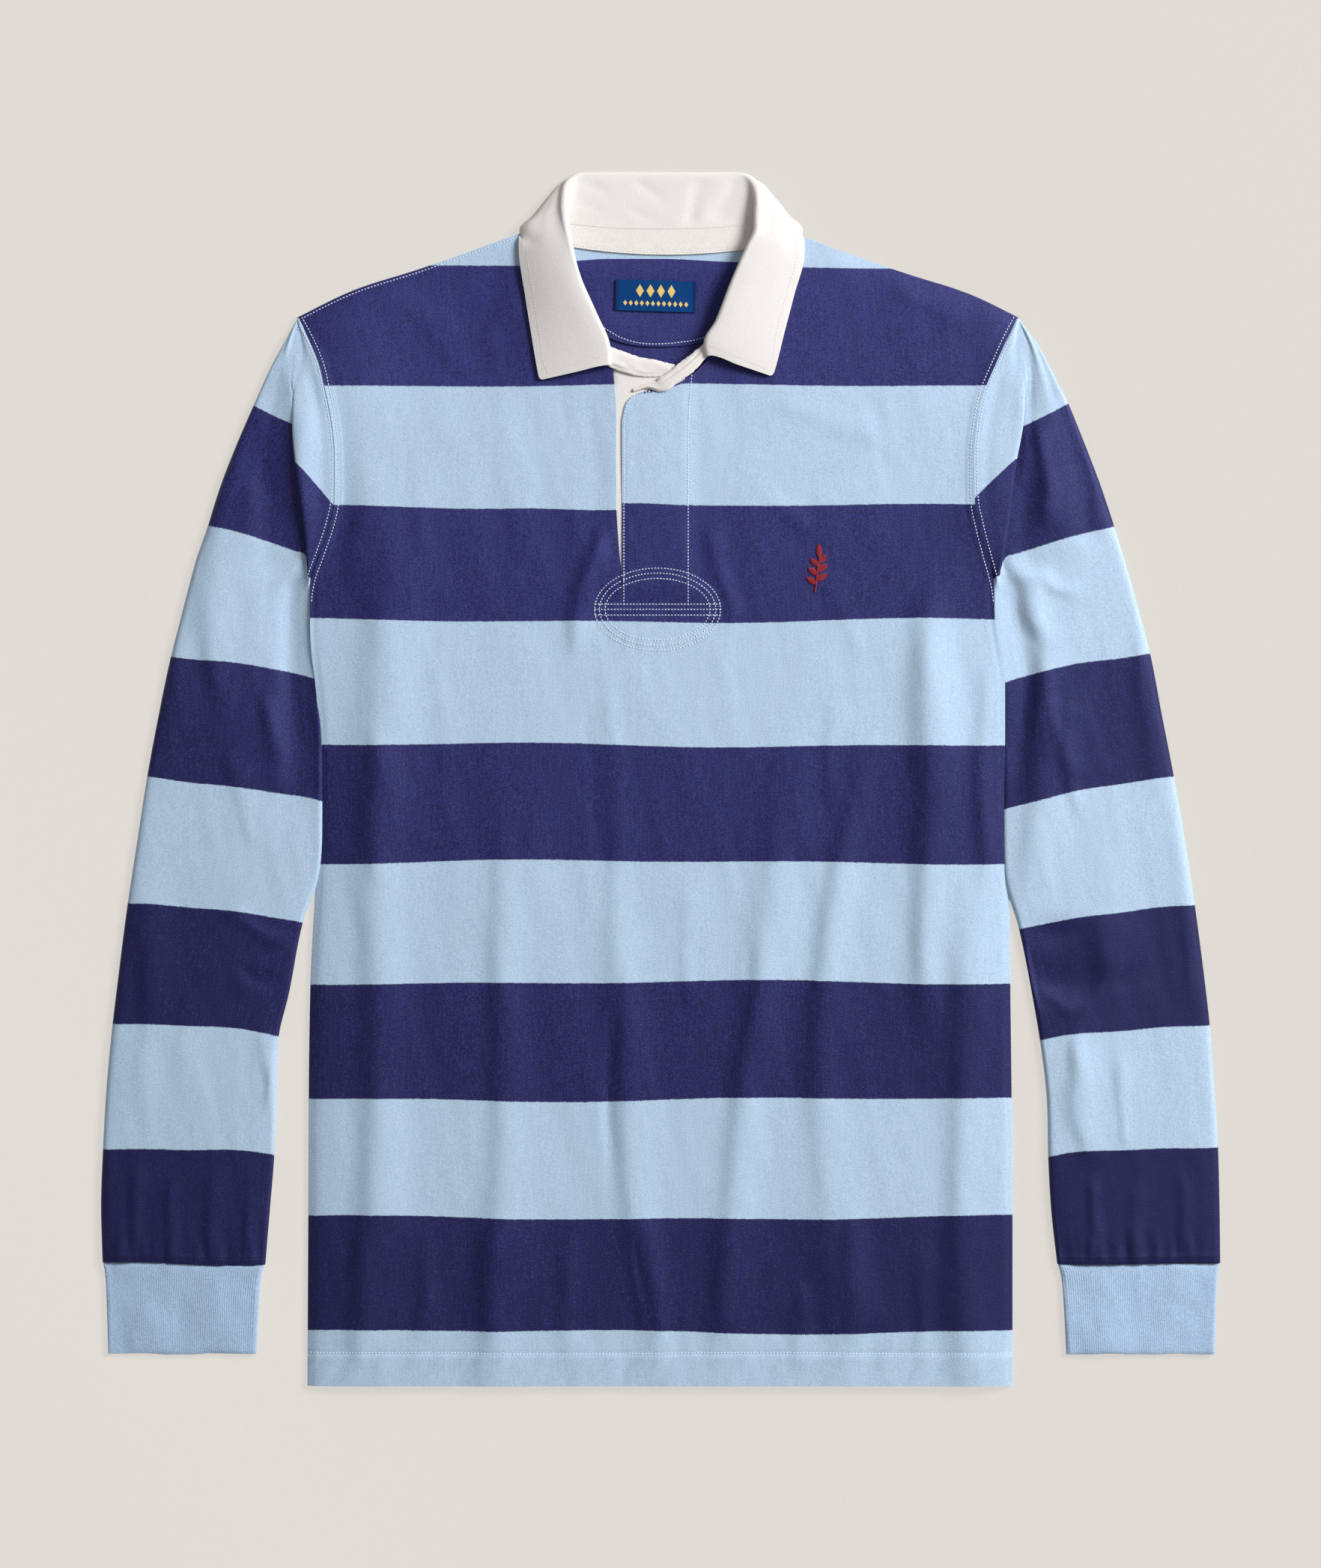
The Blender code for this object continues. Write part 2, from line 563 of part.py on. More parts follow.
COLLAR_FRONT_LEFT = (
    (61.5, 357.0, 16.0, -60, 68.3, 356.0, 6.6, 78.5, 354.5, 12.2, 0, 96.0, 352.0, 7.8),
    (49.0, 330.0, 15.5, -72, 58.7, 330.0, 7.2, 69.0, 326.0, 11.6, 0, 88.8, 322.0, 7.8),
    (38.6, 305.5, 14.0, -78, 46.2, 305.0, 7.2, 60.0, 301.5, 11.0, 0, 82.4, 298.0, 7.8),
    (30.6, 283.5, 11.6, -84, 33.2, 286.6, 7.2, 52.0, 275.5, 10.0, 0, 74.6, 268.2, 7.8),
)
ROLL_RADIUS = 1.5
UP = np.array([0.0, 0.0, 1.0])


def collar_section(row, outward):
    """Points of one section. outward is level and at right angles to the roll line."""
    point = {
        name: np.array([row[name + "_out"], row[name + "_y"], row[name + "_z"]])
        for name in ("roll", "neck", "bend", "edge")
    }
    lean = math.radians(row["lean"])
    tip = math.cos(lean) * UP + math.sin(lean) * outward
    over = math.cos(lean) * outward - math.sin(lean) * UP
    centre = point["roll"] - tip * ROLL_RADIUS
    turn = [
        centre + ROLL_RADIUS * (math.sin(a) * tip - math.cos(a) * over)
        for a in np.linspace(0, math.pi, 5)
    ]
    stand = [lerp(point["neck"], turn[0], t) for t in (0, 0.35, 0.7)]
    reach = row["bend"] if row["bend"] > 0 else 2.0
    lift = UP * row["bend"]
    level = np.array([1.0, 1.0, 0.0 if row["bend"] > 0 else 1.0])
    before = point["bend"] + unit((turn[-1] - point["bend"]) * level) * reach + lift
    after = point["bend"] + unit((point["edge"] - point["bend"]) * level) * reach - lift
    leaf = [lerp(turn[-1], before, 0.5) + UP * 0.5, before, point["bend"], after]
    return stand + turn + leaf + [lerp(after, point["edge"], 0.5), point["edge"]]


def collar_side(front_rows, side):
    """All sections of one side, from the middle of the back."""
    columns = table(COLLAR_COLUMNS, *COLLAR_BACK, *front_rows)
    along = np.stack([np.gradient(columns["roll_out"]), np.gradient(columns["roll_y"])], axis=-1)
    along = unit(along)
    sections = []
    for n in range(len(columns["lean"])):
        row = {name: values[n] for name, values in columns.items()}
        outward = np.array([-along[n, 1], along[n, 0], 0.0])
        sections.append(collar_section(row, outward))
    grid = np.array(sections)
    grid[..., 0] *= side
    return grid


collar_right = collar_side(COLLAR_FRONT_RIGHT, -1)
collar_left = collar_side(COLLAR_FRONT_LEFT, 1)
collar_grid = np.concatenate([collar_right[::-1], collar_left[1:]])
sheet("collar", collar_grid, TWILL, ecru, even=False)


# ---- Inside the back neck: patch, tape and label ----
PATCH_HALF = 65.0
PATCH_LOW_Y = 288.7
PATCH_TOP_Y = 365.8
TAPE_WIDTH = 17.0
TAPE_HALF = 61.0
LABEL_SIZE = (56.0, 20.5)
LABEL_CENTRE = (-2.4, 322.8)
LABEL_TURN = math.radians(-0.8)


def on_back(x, y, layers, thickness):
    """Height of the middle of a piece with this many millimetres of cloth between it and the back."""
    return back_height(x, y) + JERSEY + LAY_GAP + layers + thickness / 2


fraction_x, fraction_y = np.meshgrid(np.linspace(-1, 1, 15), np.linspace(0, 1, 8))
x = PATCH_HALF * np.sin(fraction_x * math.pi / 2 * 0.97)
low = PATCH_TOP_Y - (PATCH_TOP_Y - PATCH_LOW_Y) * np.sqrt(1 - (x / (PATCH_HALF + 1)) ** 2)
y = lerp(low, PATCH_TOP_Y, fraction_y)
sheet("neck_patch", np.stack([x, y, on_back(x, y, 0, TAPE)], axis=-1), TAPE, navy_jersey)

fraction_x, fraction_y = np.meshgrid(np.linspace(-1, 1, 13), np.linspace(0, 1, 3))
x = TAPE_HALF * fraction_x
y = back_top(x) - 0.2 - TAPE_WIDTH * (1 - fraction_y)
sheet("neck_tape", np.stack([x, y, on_back(x, y, TAPE + LAY_GAP, TAPE)], axis=-1), TAPE, ecru)

fraction_x, fraction_y = np.meshgrid(np.linspace(-0.5, 0.5, 5), np.linspace(-0.5, 0.5, 3))
x = LABEL_CENTRE[0] + LABEL_SIZE[0] * fraction_x - LABEL_SIZE[1] * fraction_y * math.sin(LABEL_TURN)
y = LABEL_CENTRE[1] + LABEL_SIZE[1] * fraction_y + LABEL_SIZE[0] * fraction_x * math.sin(LABEL_TURN)
sheet("label", np.stack([x, y, on_back(x, y, TAPE + LAY_GAP, TAPE)], axis=-1), TAPE, ribbon)


# ---- Placket: underlay, neck band ends and button ----
UNDERLAY_LOFT = 2.6
UNDERLAY_EDGES = (-46.0, 16.0)
UNDERLAY_END_Y = 110.0
BANDS = {  # centre line of each end of the neck band, from the collar to the placket
    "neck_band_right": table(
        "x y z half",
        (-31.8, 281.0, 7.2, 5.2),
        (-26.0, 277.8, 7.5, 5.6),
        (-17.0, 275.0, 7.5, 5.6),
        (-6.0, 273.6, 7.1, 5.0),
        (3.0, 273.5, 6.8, 4.0),
        (8.5, 274.0, 6.6, 2.4),
    ),
    "neck_band_left": table(
        "x y z half",
        (-3.5, 260.8, 9.4, 3.4),
        (2.0, 263.6, 9.6, 4.2),
        (8.0, 267.6, 9.7, 4.6),
        (14.0, 272.6, 9.5, 4.4),
        (21.0, 278.4, 8.8, 4.0),
        (28.5, 284.0, 8.0, 3.6),
    ),
}
BUTTON_CENTRE = (-22.4, 273.8, 4.7)
BUTTON_RADIUS = 6.5
BUTTON_THICKNESS = 2.2

fraction_x, fraction_y = np.meshgrid(np.linspace(0, 1, 7), np.linspace(0, 1, 10))
x = lerp(*UNDERLAY_EDGES, fraction_x)
top = np.interp(x, (-46, -33, -10, 8, 16), (287, 280, 272, 268, 269.5))
y = lerp(UNDERLAY_END_Y, top, fraction_y)
sheet("placket_underlay", np.stack([x, y, np.full_like(x, UNDERLAY_LOFT)], axis=-1), UNDERLAY, ecru)

for band_name, band in BANDS.items():
    centre = np.stack([band["x"], band["y"], band["z"]], axis=-1)
    along = unit(np.gradient(centre[:, :2], axis=0))
    across = np.stack([-along[:, 1], along[:, 0], np.zeros(len(along))], axis=-1)
    crown = np.array([-0.5, 0.0, 0.2, 0.0, -0.5])
    steps = np.linspace(-1, 1, 5)
    rows = [
        centre + across * (band["half"] * step)[:, None] + UP * rise
        for step, rise in zip(steps, crown)
    ]
    sheet(band_name, np.array(rows), TWILL, ecru)

bpy.ops.mesh.primitive_cylinder_add(
    vertices=24,
    radius=BUTTON_RADIUS * MM,
    depth=BUTTON_THICKNESS * MM,
    location=[value * MM for value in BUTTON_CENTRE],
)
button = bpy.context.active_object
button.name = button.data.name = "button"
button.data.materials.append(rubber)
rim = button.modifiers.new("Rounded rim", "BEVEL")
rim.width = 0.6 * MM
rim.segments = 1
rim.limit_method = "ANGLE"
button.data.shade_smooth()
button.data.set_sharp_from_angle(angle=math.radians(50))
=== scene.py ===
"""Looks of a long-sleeved rugby shirt laid flat on its back: striped cotton jersey, ecru twill
collar and placket, rib cuffs and pale topstitching.

Tables are in millimetres, in the frame of the solids. Meshes are in metres.
"""

import math

import bpy
import numpy as np
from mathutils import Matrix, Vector
from mathutils.bvhtree import BVHTree


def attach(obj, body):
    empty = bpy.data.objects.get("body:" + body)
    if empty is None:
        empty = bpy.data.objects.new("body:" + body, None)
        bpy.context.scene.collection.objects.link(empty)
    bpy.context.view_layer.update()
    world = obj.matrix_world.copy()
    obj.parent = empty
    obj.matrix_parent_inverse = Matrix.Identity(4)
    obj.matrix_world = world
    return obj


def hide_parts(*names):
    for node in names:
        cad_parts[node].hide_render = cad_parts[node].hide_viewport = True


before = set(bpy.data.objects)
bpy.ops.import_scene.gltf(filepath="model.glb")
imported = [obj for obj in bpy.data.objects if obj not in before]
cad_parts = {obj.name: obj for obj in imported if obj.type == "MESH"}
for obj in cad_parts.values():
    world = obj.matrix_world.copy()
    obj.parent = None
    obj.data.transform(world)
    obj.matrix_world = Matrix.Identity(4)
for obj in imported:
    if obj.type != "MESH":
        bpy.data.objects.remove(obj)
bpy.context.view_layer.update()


# ==== Front ====
# One cut of heavy cotton jersey, knitted in stripes, joined to the back at the sides and shoulders.
# The placket's overlap lies over its edge, and soft folds fall from the chest to the hem.
MM = 0.001
JERSEY = 1.3  # wall of the jersey
LOFT = 5.6  # height of the front's middle surface over the table
HEM_Y = -405.5
HEM_STITCH_Y = -383.5
ARMHOLE_END_Y = 134.0
FAN_Y = 150.0  # above it the rows of points fan out towards the shoulder
TIP_Y = 308.0  # tip of the shoulder
NECK_SIDE = 74.0
NECK_SIDE_Y = 370.0
SLIT_X = -26.0
SLIT_END_Y = 116.5
SEAM_GAP = 0.4
SEAM_ROLL = 7.0  # how far from a seam the cloth reaches its full height
SEAM_CLOSE = 0.5  # how far a seam draws the front down onto the back, and how soon that ends
SEAM_PULL = 1.5
COLLAR_HOLLOW = 3.8  # dip beside the wearer's right collar leaf
PLACKET_STITCH_X = 18.0
OVERLAP_LIFT = 1.1
UNDERLAP_RISE = 1.1
STRIPE = 80.0  # width of one stripe
# Rows where the knitting changes colour, from the neck down. Light blue lies above the first.
STRIPE_ROWS = (342.0, 262.5, 182.0, 105.5, 22.5, -55.5, -136.0, -214.0, -293.0, -369.0)


def table(columns, *rows):
    """A small table, as one array of numbers for each named column."""
    return dict(zip(columns.split(), np.array(rows, float).T))


def rows_of(columns):
    """The rows of a table, each with its numbers by name."""
    return [dict(zip(columns, numbers)) for numbers in zip(*columns.values())]


def smooth(xs, ys, at):
    """The smooth curve through the points (xs, ys), read at the given places. It never swings past
    its points, and is level beyond its ends."""
    xs, ys, at = (np.asarray(numbers, float) for numbers in (xs, ys, at))
    at = np.clip(at, xs[0], xs[-1])
    slopes = np.gradient(ys, xs, axis=0)
    rises = np.diff(ys, axis=0) / np.diff(xs).reshape((-1,) + (1,) * (ys.ndim - 1))
    limit = 3 * np.minimum(abs(rises[:-1]), abs(rises[1:])) * (rises[:-1] * rises[1:] > 0)
    slopes[1:-1] = np.clip(slopes[1:-1], -limit, limit)
    k = np.clip(np.searchsorted(xs, at, side="right") - 1, 0, len(xs) - 2)
    spread = at.shape + (1,) * (ys.ndim - 1)
    step = (xs[k + 1] - xs[k]).reshape(spread)
    t = (at - xs[k]).reshape(spread) / step
    rise = (3 - 2 * t) * t * t
    curve = t * (1 - t) * step * ((1 - t) * slopes[k] - t * slopes[k + 1])
    return ys[k] * (1 - rise) + ys[k + 1] * rise + curve


def ramp(value, start, end):
    """0 before start, 1 after end and a soft step between them."""
    t = np.clip((value - start) / (end - start), 0, 1)
    return t * t * (3 - 2 * t)


def spaced(*stretches):
    """Numbers in stretches: each (end, count) adds count even steps from the last number to end."""
    numbers = [0.0]
    for end, count in stretches:
        numbers.extend(np.linspace(numbers[-1], end, count + 1)[1:])
    return np.array(numbers)


def lerp(a, b, t):
    """From a to b as t goes from 0 to 1."""
    return a + (b - a) * t


def bump(value, width):
    """1 at 0, with a soft fall to each side."""
    return np.exp(-((value / width) ** 2))


# Side seams and armholes: how far out each lies at a height y, and how high its cloth is.
SIDE = table(
    "y out_right out_left loft",
    (-405.5, 236, 234.5, 2.4),
    (-300, 235.5, 234.5, 2.4),
    (-136, 234, 233, 2.4),
    (-57, 230, 232, 2.8),
    (25, 228, 229.5, 4.6),
    (65, 231, 229.5, 5.4),
    (85, 233.5, 226, 5.5),
    (105, 234.3, 222.8, 5.6),
    (130, 233.9, 222.1, 5.7),
    (150.5, 227.5, 217.1, 6),
    (168, 221.5, 212.6, 6.6),
    (186, 218, 209.3, 7),
    (215, 217.9, 209.1, 7.2),
    (240, 220.2, 211.6, 7),
    (260, 224.2, 216.2, 6.6),
    (276, 227.8, 223, 6),
    (292, 234.4, 230.2, 4.8),
    (308, 243, 238.6, 2.8),
)
# Shoulder seams, from the tip to the side of the neck, alike on both sides.
SHOULDER = table(
    "out y loft",
    (243, 308, 2.4),
    (207, 325.5, 2.4),
    (163, 340, 2.5),
    (131, 351, 2.9),
    (110, 358.5, 4.2),
    (96, 363.5, 4.4),
    (74, 370, 4.5),
)
# Front neckline from each shoulder seam to the slit. The left one dips round the overlap's corner.
NECKLINE_RIGHT = table(
    "out y",
    (74, 370),
    (68, 350),
    (60, 325),
    (50, 300),
    (38, 283),
    (33, 275.5),
)
NECKLINE_LEFT = table(
    "out y",
    (74, 370),
    (68, 350),
    (58, 325),
    (45, 300),
    (31, 281.5),
    (22.5, 272.5),
    (12, 265.5),
    (0, 262.2),
    (-10, 260.2),
    (-18, 257.6),
    (-20.8, 255.4),
    (-22.6, 253),
    (-24.6, 249),
    (-26, 240),
)
# Folds and creases of the front, each from its head by its middle to its foot. A height below 0 is
# a trough. The first eight are the long drape folds.
CREASE_COLUMNS = "x_head y_head x_mid y_mid x_foot y_foot width height"
FOLD_FADE = 0.28  # share of a fold's length in which it rises at its head, and falls at its foot
STEEP_SIDE = 1.45
EASY_SIDE = 0.85
FRONT_CREASES = table(
    CREASE_COLUMNS,
    (-184, 270, -189, -90, -199, -460, 19, 3.9),
    (-104, 10, -106, -173, -114, -470, 14, 2.7),
    (-26, 10, -26, -190, 11, -450, 11, 2.1),
    (92, 80, 64, -142, 31, -450, 15, 2.8),
    (146, 60, 108, -158, 136, -450, 13, 2.4),
    (182, 160, 178, -10, 176, -190, 14, 4.6),
    (206, -20, 200, -252, 206, -470, 15, 3.1),
    (219, 95, 217, 0, 219, -85, 9, 2.4),
    (-205, 285, -204, 200, -203, 100, 14, 1.5),
    (-163, 215, -161, 160, -166, 105, 8, 0.5),
    (-34, 176, -52, 128, -60, 78, 7, 2.6),
    (27, 178, 40, 134, 52, 96, 5.5, 1.1),
    (-36, 84, -33, 13, -26, -70, 8, 0.7),
    (-51, 65, -47, 0, -39, -65, 4, -0.5),
    (-28, -120, -35, -200, -31, -290, 4.5, -1.05),
    (-20, -300, -12, -340, -3, -378, 3.5, -1.2),
    (62, -100, 57, -140, 50, -185, 4, -0.9),
    (20, -60, 16, -110, 21, -160, 7, 0.6),
    (66, 250, 110, 240, 160, 216, 9, 0.75),
    (104, 196, 150, 232, 200, 262, 8, 0.68),
    (60, 205, 84, 176, 122, 158, 7, 0.6),
    (-176, 322, -152, 300, -122, 262, 9.5, 0.75),
    (-96, 334, -108, 306, -128, 284, 8, 0.68),
    (150, 330, 176, 318, 210, 300, 8, 0.75),
    (88, 150, 116, 120, 136, 70, 7, 0.52),
    (118, 60, 112, 20, 116, -30, 6, 0.75),
    (-80, 10, -84, -60, -78, -120, 9.5, 0.52),
    (-140, 120, -146, 40, -141, -50, 10.5, 0.6),
    (-60, -300, -64, -350, -59, -400, 8, 1.05),
    (90, -330, 93, -365, 88, -405, 7, 1.05),
    (170, -300, 174, -350, 170, -400, 6, 0.9),
    (-160, -290, -158, -340, -163, -400, 7, 0.9),
    (-190, 45, -190, -16, -192, -80, 10, 2),
    (-113, -285, -116, -330, -112, -390, 9, 1.6),
    (-201, -290, -201, -330, -202, -395, 8, 1.6),
    (-8, -285, -5, -330, 0, -385, 7, 0.8),
    (38, -290, 40, -330, 38, -385, 8, 1.1),
    (126, -280, 127, -330, 130, -395, 9, 1.7),
)


def creased(marks, x, y):
    """Height that a table of creases adds at (x, y). Each fades at its ends and wanders a little,
    and one of its sides is steeper than the other."""
    total = np.zeros(np.broadcast(x, y).shape)
    for n, mark in enumerate(rows_of(marks)):
        chord = np.array([mark["x_foot"] - mark["x_head"], mark["y_foot"] - mark["y_head"]])
        length = np.hypot(*chord)
        along = chord / length
        across = np.array([-along[1], along[0]])

        def place(px, py):
            dx, dy = px - mark["x_head"], py - mark["y_head"]
            return (dx * along[0] + dy * along[1]) / length, dx * across[0] + dy * across[1]

        t, side = place(x, y)
        t_mid, side_mid = place(mark["x_mid"], mark["y_mid"])
        near = np.clip(t, -0.2, 1.2)
        bow = side_mid * near * (1 - near) / (t_mid * (1 - t_mid))
        width = mark["width"] * (1 + 0.22 * np.sin(7 * t + 2.3 * n))
        line = bow + 0.14 * width * np.sin(11 * t + 1.7 * n)
        fade = ramp(t, 0, FOLD_FADE) * (1 - ramp(t, 1 - FOLD_FADE, 1))
        swell = 1 + 0.18 * np.sin(9 * t + 1.1 * n)
        away = side - line
        away = np.where(away < 0, away * STEEP_SIDE, away * EASY_SIDE)
        total = total + mark["height"] * swell * fade * bump(away, width)
    return total


SWELLS = 64  # random heights on each side of the square that a drift repeats


def drift(x, y, across, along, seed):
    """Smooth random unevenness, about -1 to 1, in swells of this size in mm."""
    lattice = np.random.default_rng(seed).uniform(-1, 1, (SWELLS, SWELLS))
    u, v = x / across + 10 * SWELLS, y / along + 10 * SWELLS
    i, j = np.floor(u).astype(int), np.floor(v).astype(int)
    near, far = (
        lerp(lattice[i % SWELLS, row], lattice[(i + 1) % SWELLS, row], ramp(u - i, 0, 1))
        for row in (j % SWELLS, (j + 1) % SWELLS)
    )
    return lerp(near, far, ramp(v - j, 0, 1))


def rumpled(x, y):
    """The faint unevenness of cloth that was smoothed out by hand: long swells that lean a little,
    shorter ones between them, and a fine ripple."""
    lean = x + 0.2 * y
    slow, quick = drift(lean, y, 19, 84, 1), drift(lean, y, 8, 34, 2)
    return 0.36 * slow + 0.16 * quick + 0.07 * drift(x, y, 4, 7, 3)


def read(columns, name, by, at):
    """One column of a table, read smoothly along another."""
    order = np.argsort(columns[by])
    return smooth(columns[by][order], columns[name][order], at)


def side_x(y, side):
    """Side seam and armhole seam, on the wearer's right (-1) or left (1)."""
    return side * read(SIDE, {-1: "out_right", 1: "out_left"}[side], "y", y)


def shoulder_y(out):
    return read(SHOULDER, "y", "out", out)


def front_top(x):
    """The upper edge of the front: shoulder seams and neckline."""
    out = np.abs(x)
    right = np.interp(out, NECKLINE_RIGHT["out"][::-1], NECKLINE_RIGHT["y"][::-1])
    left = np.interp(x, NECKLINE_LEFT["out"][::-1], NECKLINE_LEFT["y"][::-1])
    neck = np.where(x < SLIT_X - SEAM_GAP / 2, right, left)
    return np.where(out > NECK_SIDE, shoulder_y(out), neck)


def fanned(row, top, side_top):
    """The height up the shirt of a row that is level below FAN_Y. Above it the rows spread from
    their place on the armhole seam, so that the last follows the upper edge."""
    return np.where(row > FAN_Y, FAN_Y + (row - FAN_Y) * (top - FAN_Y) / (side_top - FAN_Y), row)


PATCH_CENTRE = (-2.4, 113.0)  # middle of the oval stitched under the placket
PATCH_RINGS = ((42.0, 27.5), (38.8, 24.2), (35.0, 20.6))
PATCH_CROSS_ROWS = (3.5, 0.0, -3.8)
PATCH_CROSS_HALF = 41.5


def placket_patch(x, y):
    """The raised oval, puckered round its rim, with grooves at its rings and its cross rows."""
    right, up = (x - PATCH_CENTRE[0]), (y - PATCH_CENTRE[1])
    reach = np.hypot(right / PATCH_RINGS[1][0], up / PATCH_RINGS[1][1])
    angle = np.arctan2(up, right)
    pucker = np.sin(19 * angle + 1.5 * np.sin(5 * angle)) * bump(reach - 1.02, 0.14)
    quilt = sum(bump(np.hypot(right / a, up / b) - 1, 0.022) for a, b in PATCH_RINGS)
    cross = sum(bump(up - rise, 0.9) for rise in PATCH_CROSS_ROWS) * (reach < 1.08)
    return 0.5 * (1 - ramp(reach, 0.98, 1.16)) + 0.2 * pucker - 0.28 * np.maximum(quilt, cross)


def seam_band(distance, row, width):
    """Seam allowances under the cloth beside a seam, with the groove of the row that holds them."""
    return 0.45 * (1 - ramp(distance, width, width + 1.6)) - 0.4 * bump(distance - row, 0.8)


def hem(x, y):
    """The turned-up hem: a groove at its row of stitches, and rope-like pulls below it."""
    below = HEM_STITCH_Y - y
    pulls = drift(x + 0.5 * below, y * 0, 9.5, 1, 21) + 0.5 * drift(x + 0.8 * below, y, 3.8, 9, 22)
    zone = ramp(below, -9, 4) * (1 - 0.6 * ramp(below, 12, 22))
    return 0.35 * ramp(below, 0, 2.5) + 0.5 * pulls * zone - 0.35 * bump(below, 1.0)


def front_height(x, y, overlap):
    """Height of the front's middle surface. overlap is 1 left of the slit, 0 right of it."""
    # Up from the side seam, with the drape folds a little way inside it.
    side = np.where(x > 0, 1, -1)
    out = np.where(x > 0, side_x(y, 1), -side_x(y, -1))
    from_side = np.clip(out - side * x, 0, None)
    edge = read(SIDE, "loft", "y", y)
    roll = SEAM_ROLL - 3.5 * ramp(y, 10, 60) * (1 - ramp(y, 125, 135))
    height = edge + (LOFT - edge) * (1 - np.exp(-from_side / roll))
    height = height - SEAM_CLOSE * (1 - ramp(y, 60, 105)) * np.exp(-from_side / SEAM_PULL)
    height = height + (creased(FRONT_CREASES, x, y) + rumpled(x, y)) * ramp(from_side, 2, 22)
    in_armhole = ramp(y, ARMHOLE_END_Y - 6, ARMHOLE_END_Y + 6)
    height = height + in_armhole * seam_band(from_side, 3.0, 4.2)
    height = height - 0.35 * (1 - in_armhole) * bump(from_side - 2.5, 1.6)
    # Down to the shoulder seam.
    from_shoulder = np.clip(shoulder_y(np.abs(x)) - y, 0, None)
    shoulder_edge = read(SHOULDER, "loft", "out", np.abs(x))
    height = shoulder_edge + (height - shoulder_edge) * (1 - np.exp(-from_shoulder / SEAM_ROLL))
    height = height - SEAM_CLOSE * np.exp(-from_shoulder / SEAM_PULL)
    height = height + ramp(np.abs(x), 80, 96) * seam_band(from_shoulder, 2.0, 3.0)
    # The placket: its overlap is lifted on one side of the slit, and the panel by what lies under
    # it on the other. Each row of stitches draws a groove.
    placket = ramp(y, SLIT_END_Y, SLIT_END_Y + 14)
    lift = OVERLAP_LIFT * (1 - ramp(x, PLACKET_STITCH_X - 4, PLACKET_STITCH_X + 8))
    rise = UNDERLAP_RISE * ramp(x, SLIT_X - 20, SLIT_X - 4)
    height = height + placket * np.where(overlap > 0, lift, rise)
    beside_collar = ramp(-x, 80, 126) * (1 - ramp(-x, 150, 215)) * ramp(y, 225, 290)
    height = height - COLLAR_HOLLOW * beside_collar * (1 - np.exp(-from_shoulder / 12))
    rows = bump(x - PLACKET_STITCH_X, 1.2) + bump(x - SLIT_X - 1.2, 1.0)
    height = height - 0.3 * placket * np.where(overlap > 0, rows, 0)
    return height + placket_patch(x, y) + hem(x, y)


def slit_edge(y):
    """The panel's edge beside the slit, drawn back from the overlap towards the neck."""
    drawn = 3.5 * np.clip((y - 140.0) / 40.0, 0, 1) ** 0.7 + 2.8 * ramp(y, 244, 284)
    return SLIT_X - SEAM_GAP - drawn


def front_half(rows, fractions, side):
    """Rows of points from the right side seam to the slit, or from the slit to the left seam."""
    row, fraction = np.meshgrid(rows, fractions, indexing="ij")
    seam = side_x(row, side)
    slit = np.where((side < 0) & (row > SLIT_END_Y + 0.1), slit_edge(row), SLIT_X)
    x = lerp(slit, seam, fraction) if side > 0 else lerp(seam, slit, fraction)
    y = fanned(row, front_top(x), shoulder_y(np.abs(seam)))
    if side < 0:
        x = np.where(fraction == 1, np.where(row > SLIT_END_Y + 0.1, slit_edge(y), SLIT_X), x)
    return np.stack([x, y, front_height(x, y, np.full_like(x, side > 0))], axis=-1)


def stripe_course(y):
    """How many colour changes lie above y: whole numbers fall on the changes."""
    rows = np.array([STRIPE_ROWS[0] + STRIPE, *STRIPE_ROWS, STRIPE_ROWS[-1] - STRIPE])
    return np.interp(-y, -rows, np.arange(len(rows)))


def slow_wave(x, y):
    """How far a course of the body strays from level."""
    return 1.1 * np.sin(x / 71 + y / 60)


def front_course(points, slit_column):
    """Courses of the front, which wave a little and meet unevenly across the placket."""
    x, y = points[..., 0], points[..., 1]
    wave = slow_wave(x, y) + 0.8 * np.sin(x / 33 - y / 90 + 1)
    overlap = np.arange(points.shape[1])[None, :] >= slit_column
    beside = 2.8 * ramp(x, -95, -32) * ~overlap * ramp(y, 120, 150)
    beside = beside * (1 - ramp(y, 215, 245))
    corner = np.interp(x, (-18.5, -4.5, 6, 14), (8.8, 6.8, 3.4, 0)) * ramp(y, 225, 245)
    corner = corner * overlap
    over = 1.4 * (1 - ramp(x, -20, 20)) * overlap * ramp(y, 130, 160)
    return stripe_course(y + wave * ramp(np.abs(y - 300), 0, 60) + beside + corner - over)


def placed(name, data):
    """A new object in the scene, at the origin."""
    obj = bpy.data.objects.new(name, data)
    bpy.context.scene.collection.objects.link(obj)
    return obj


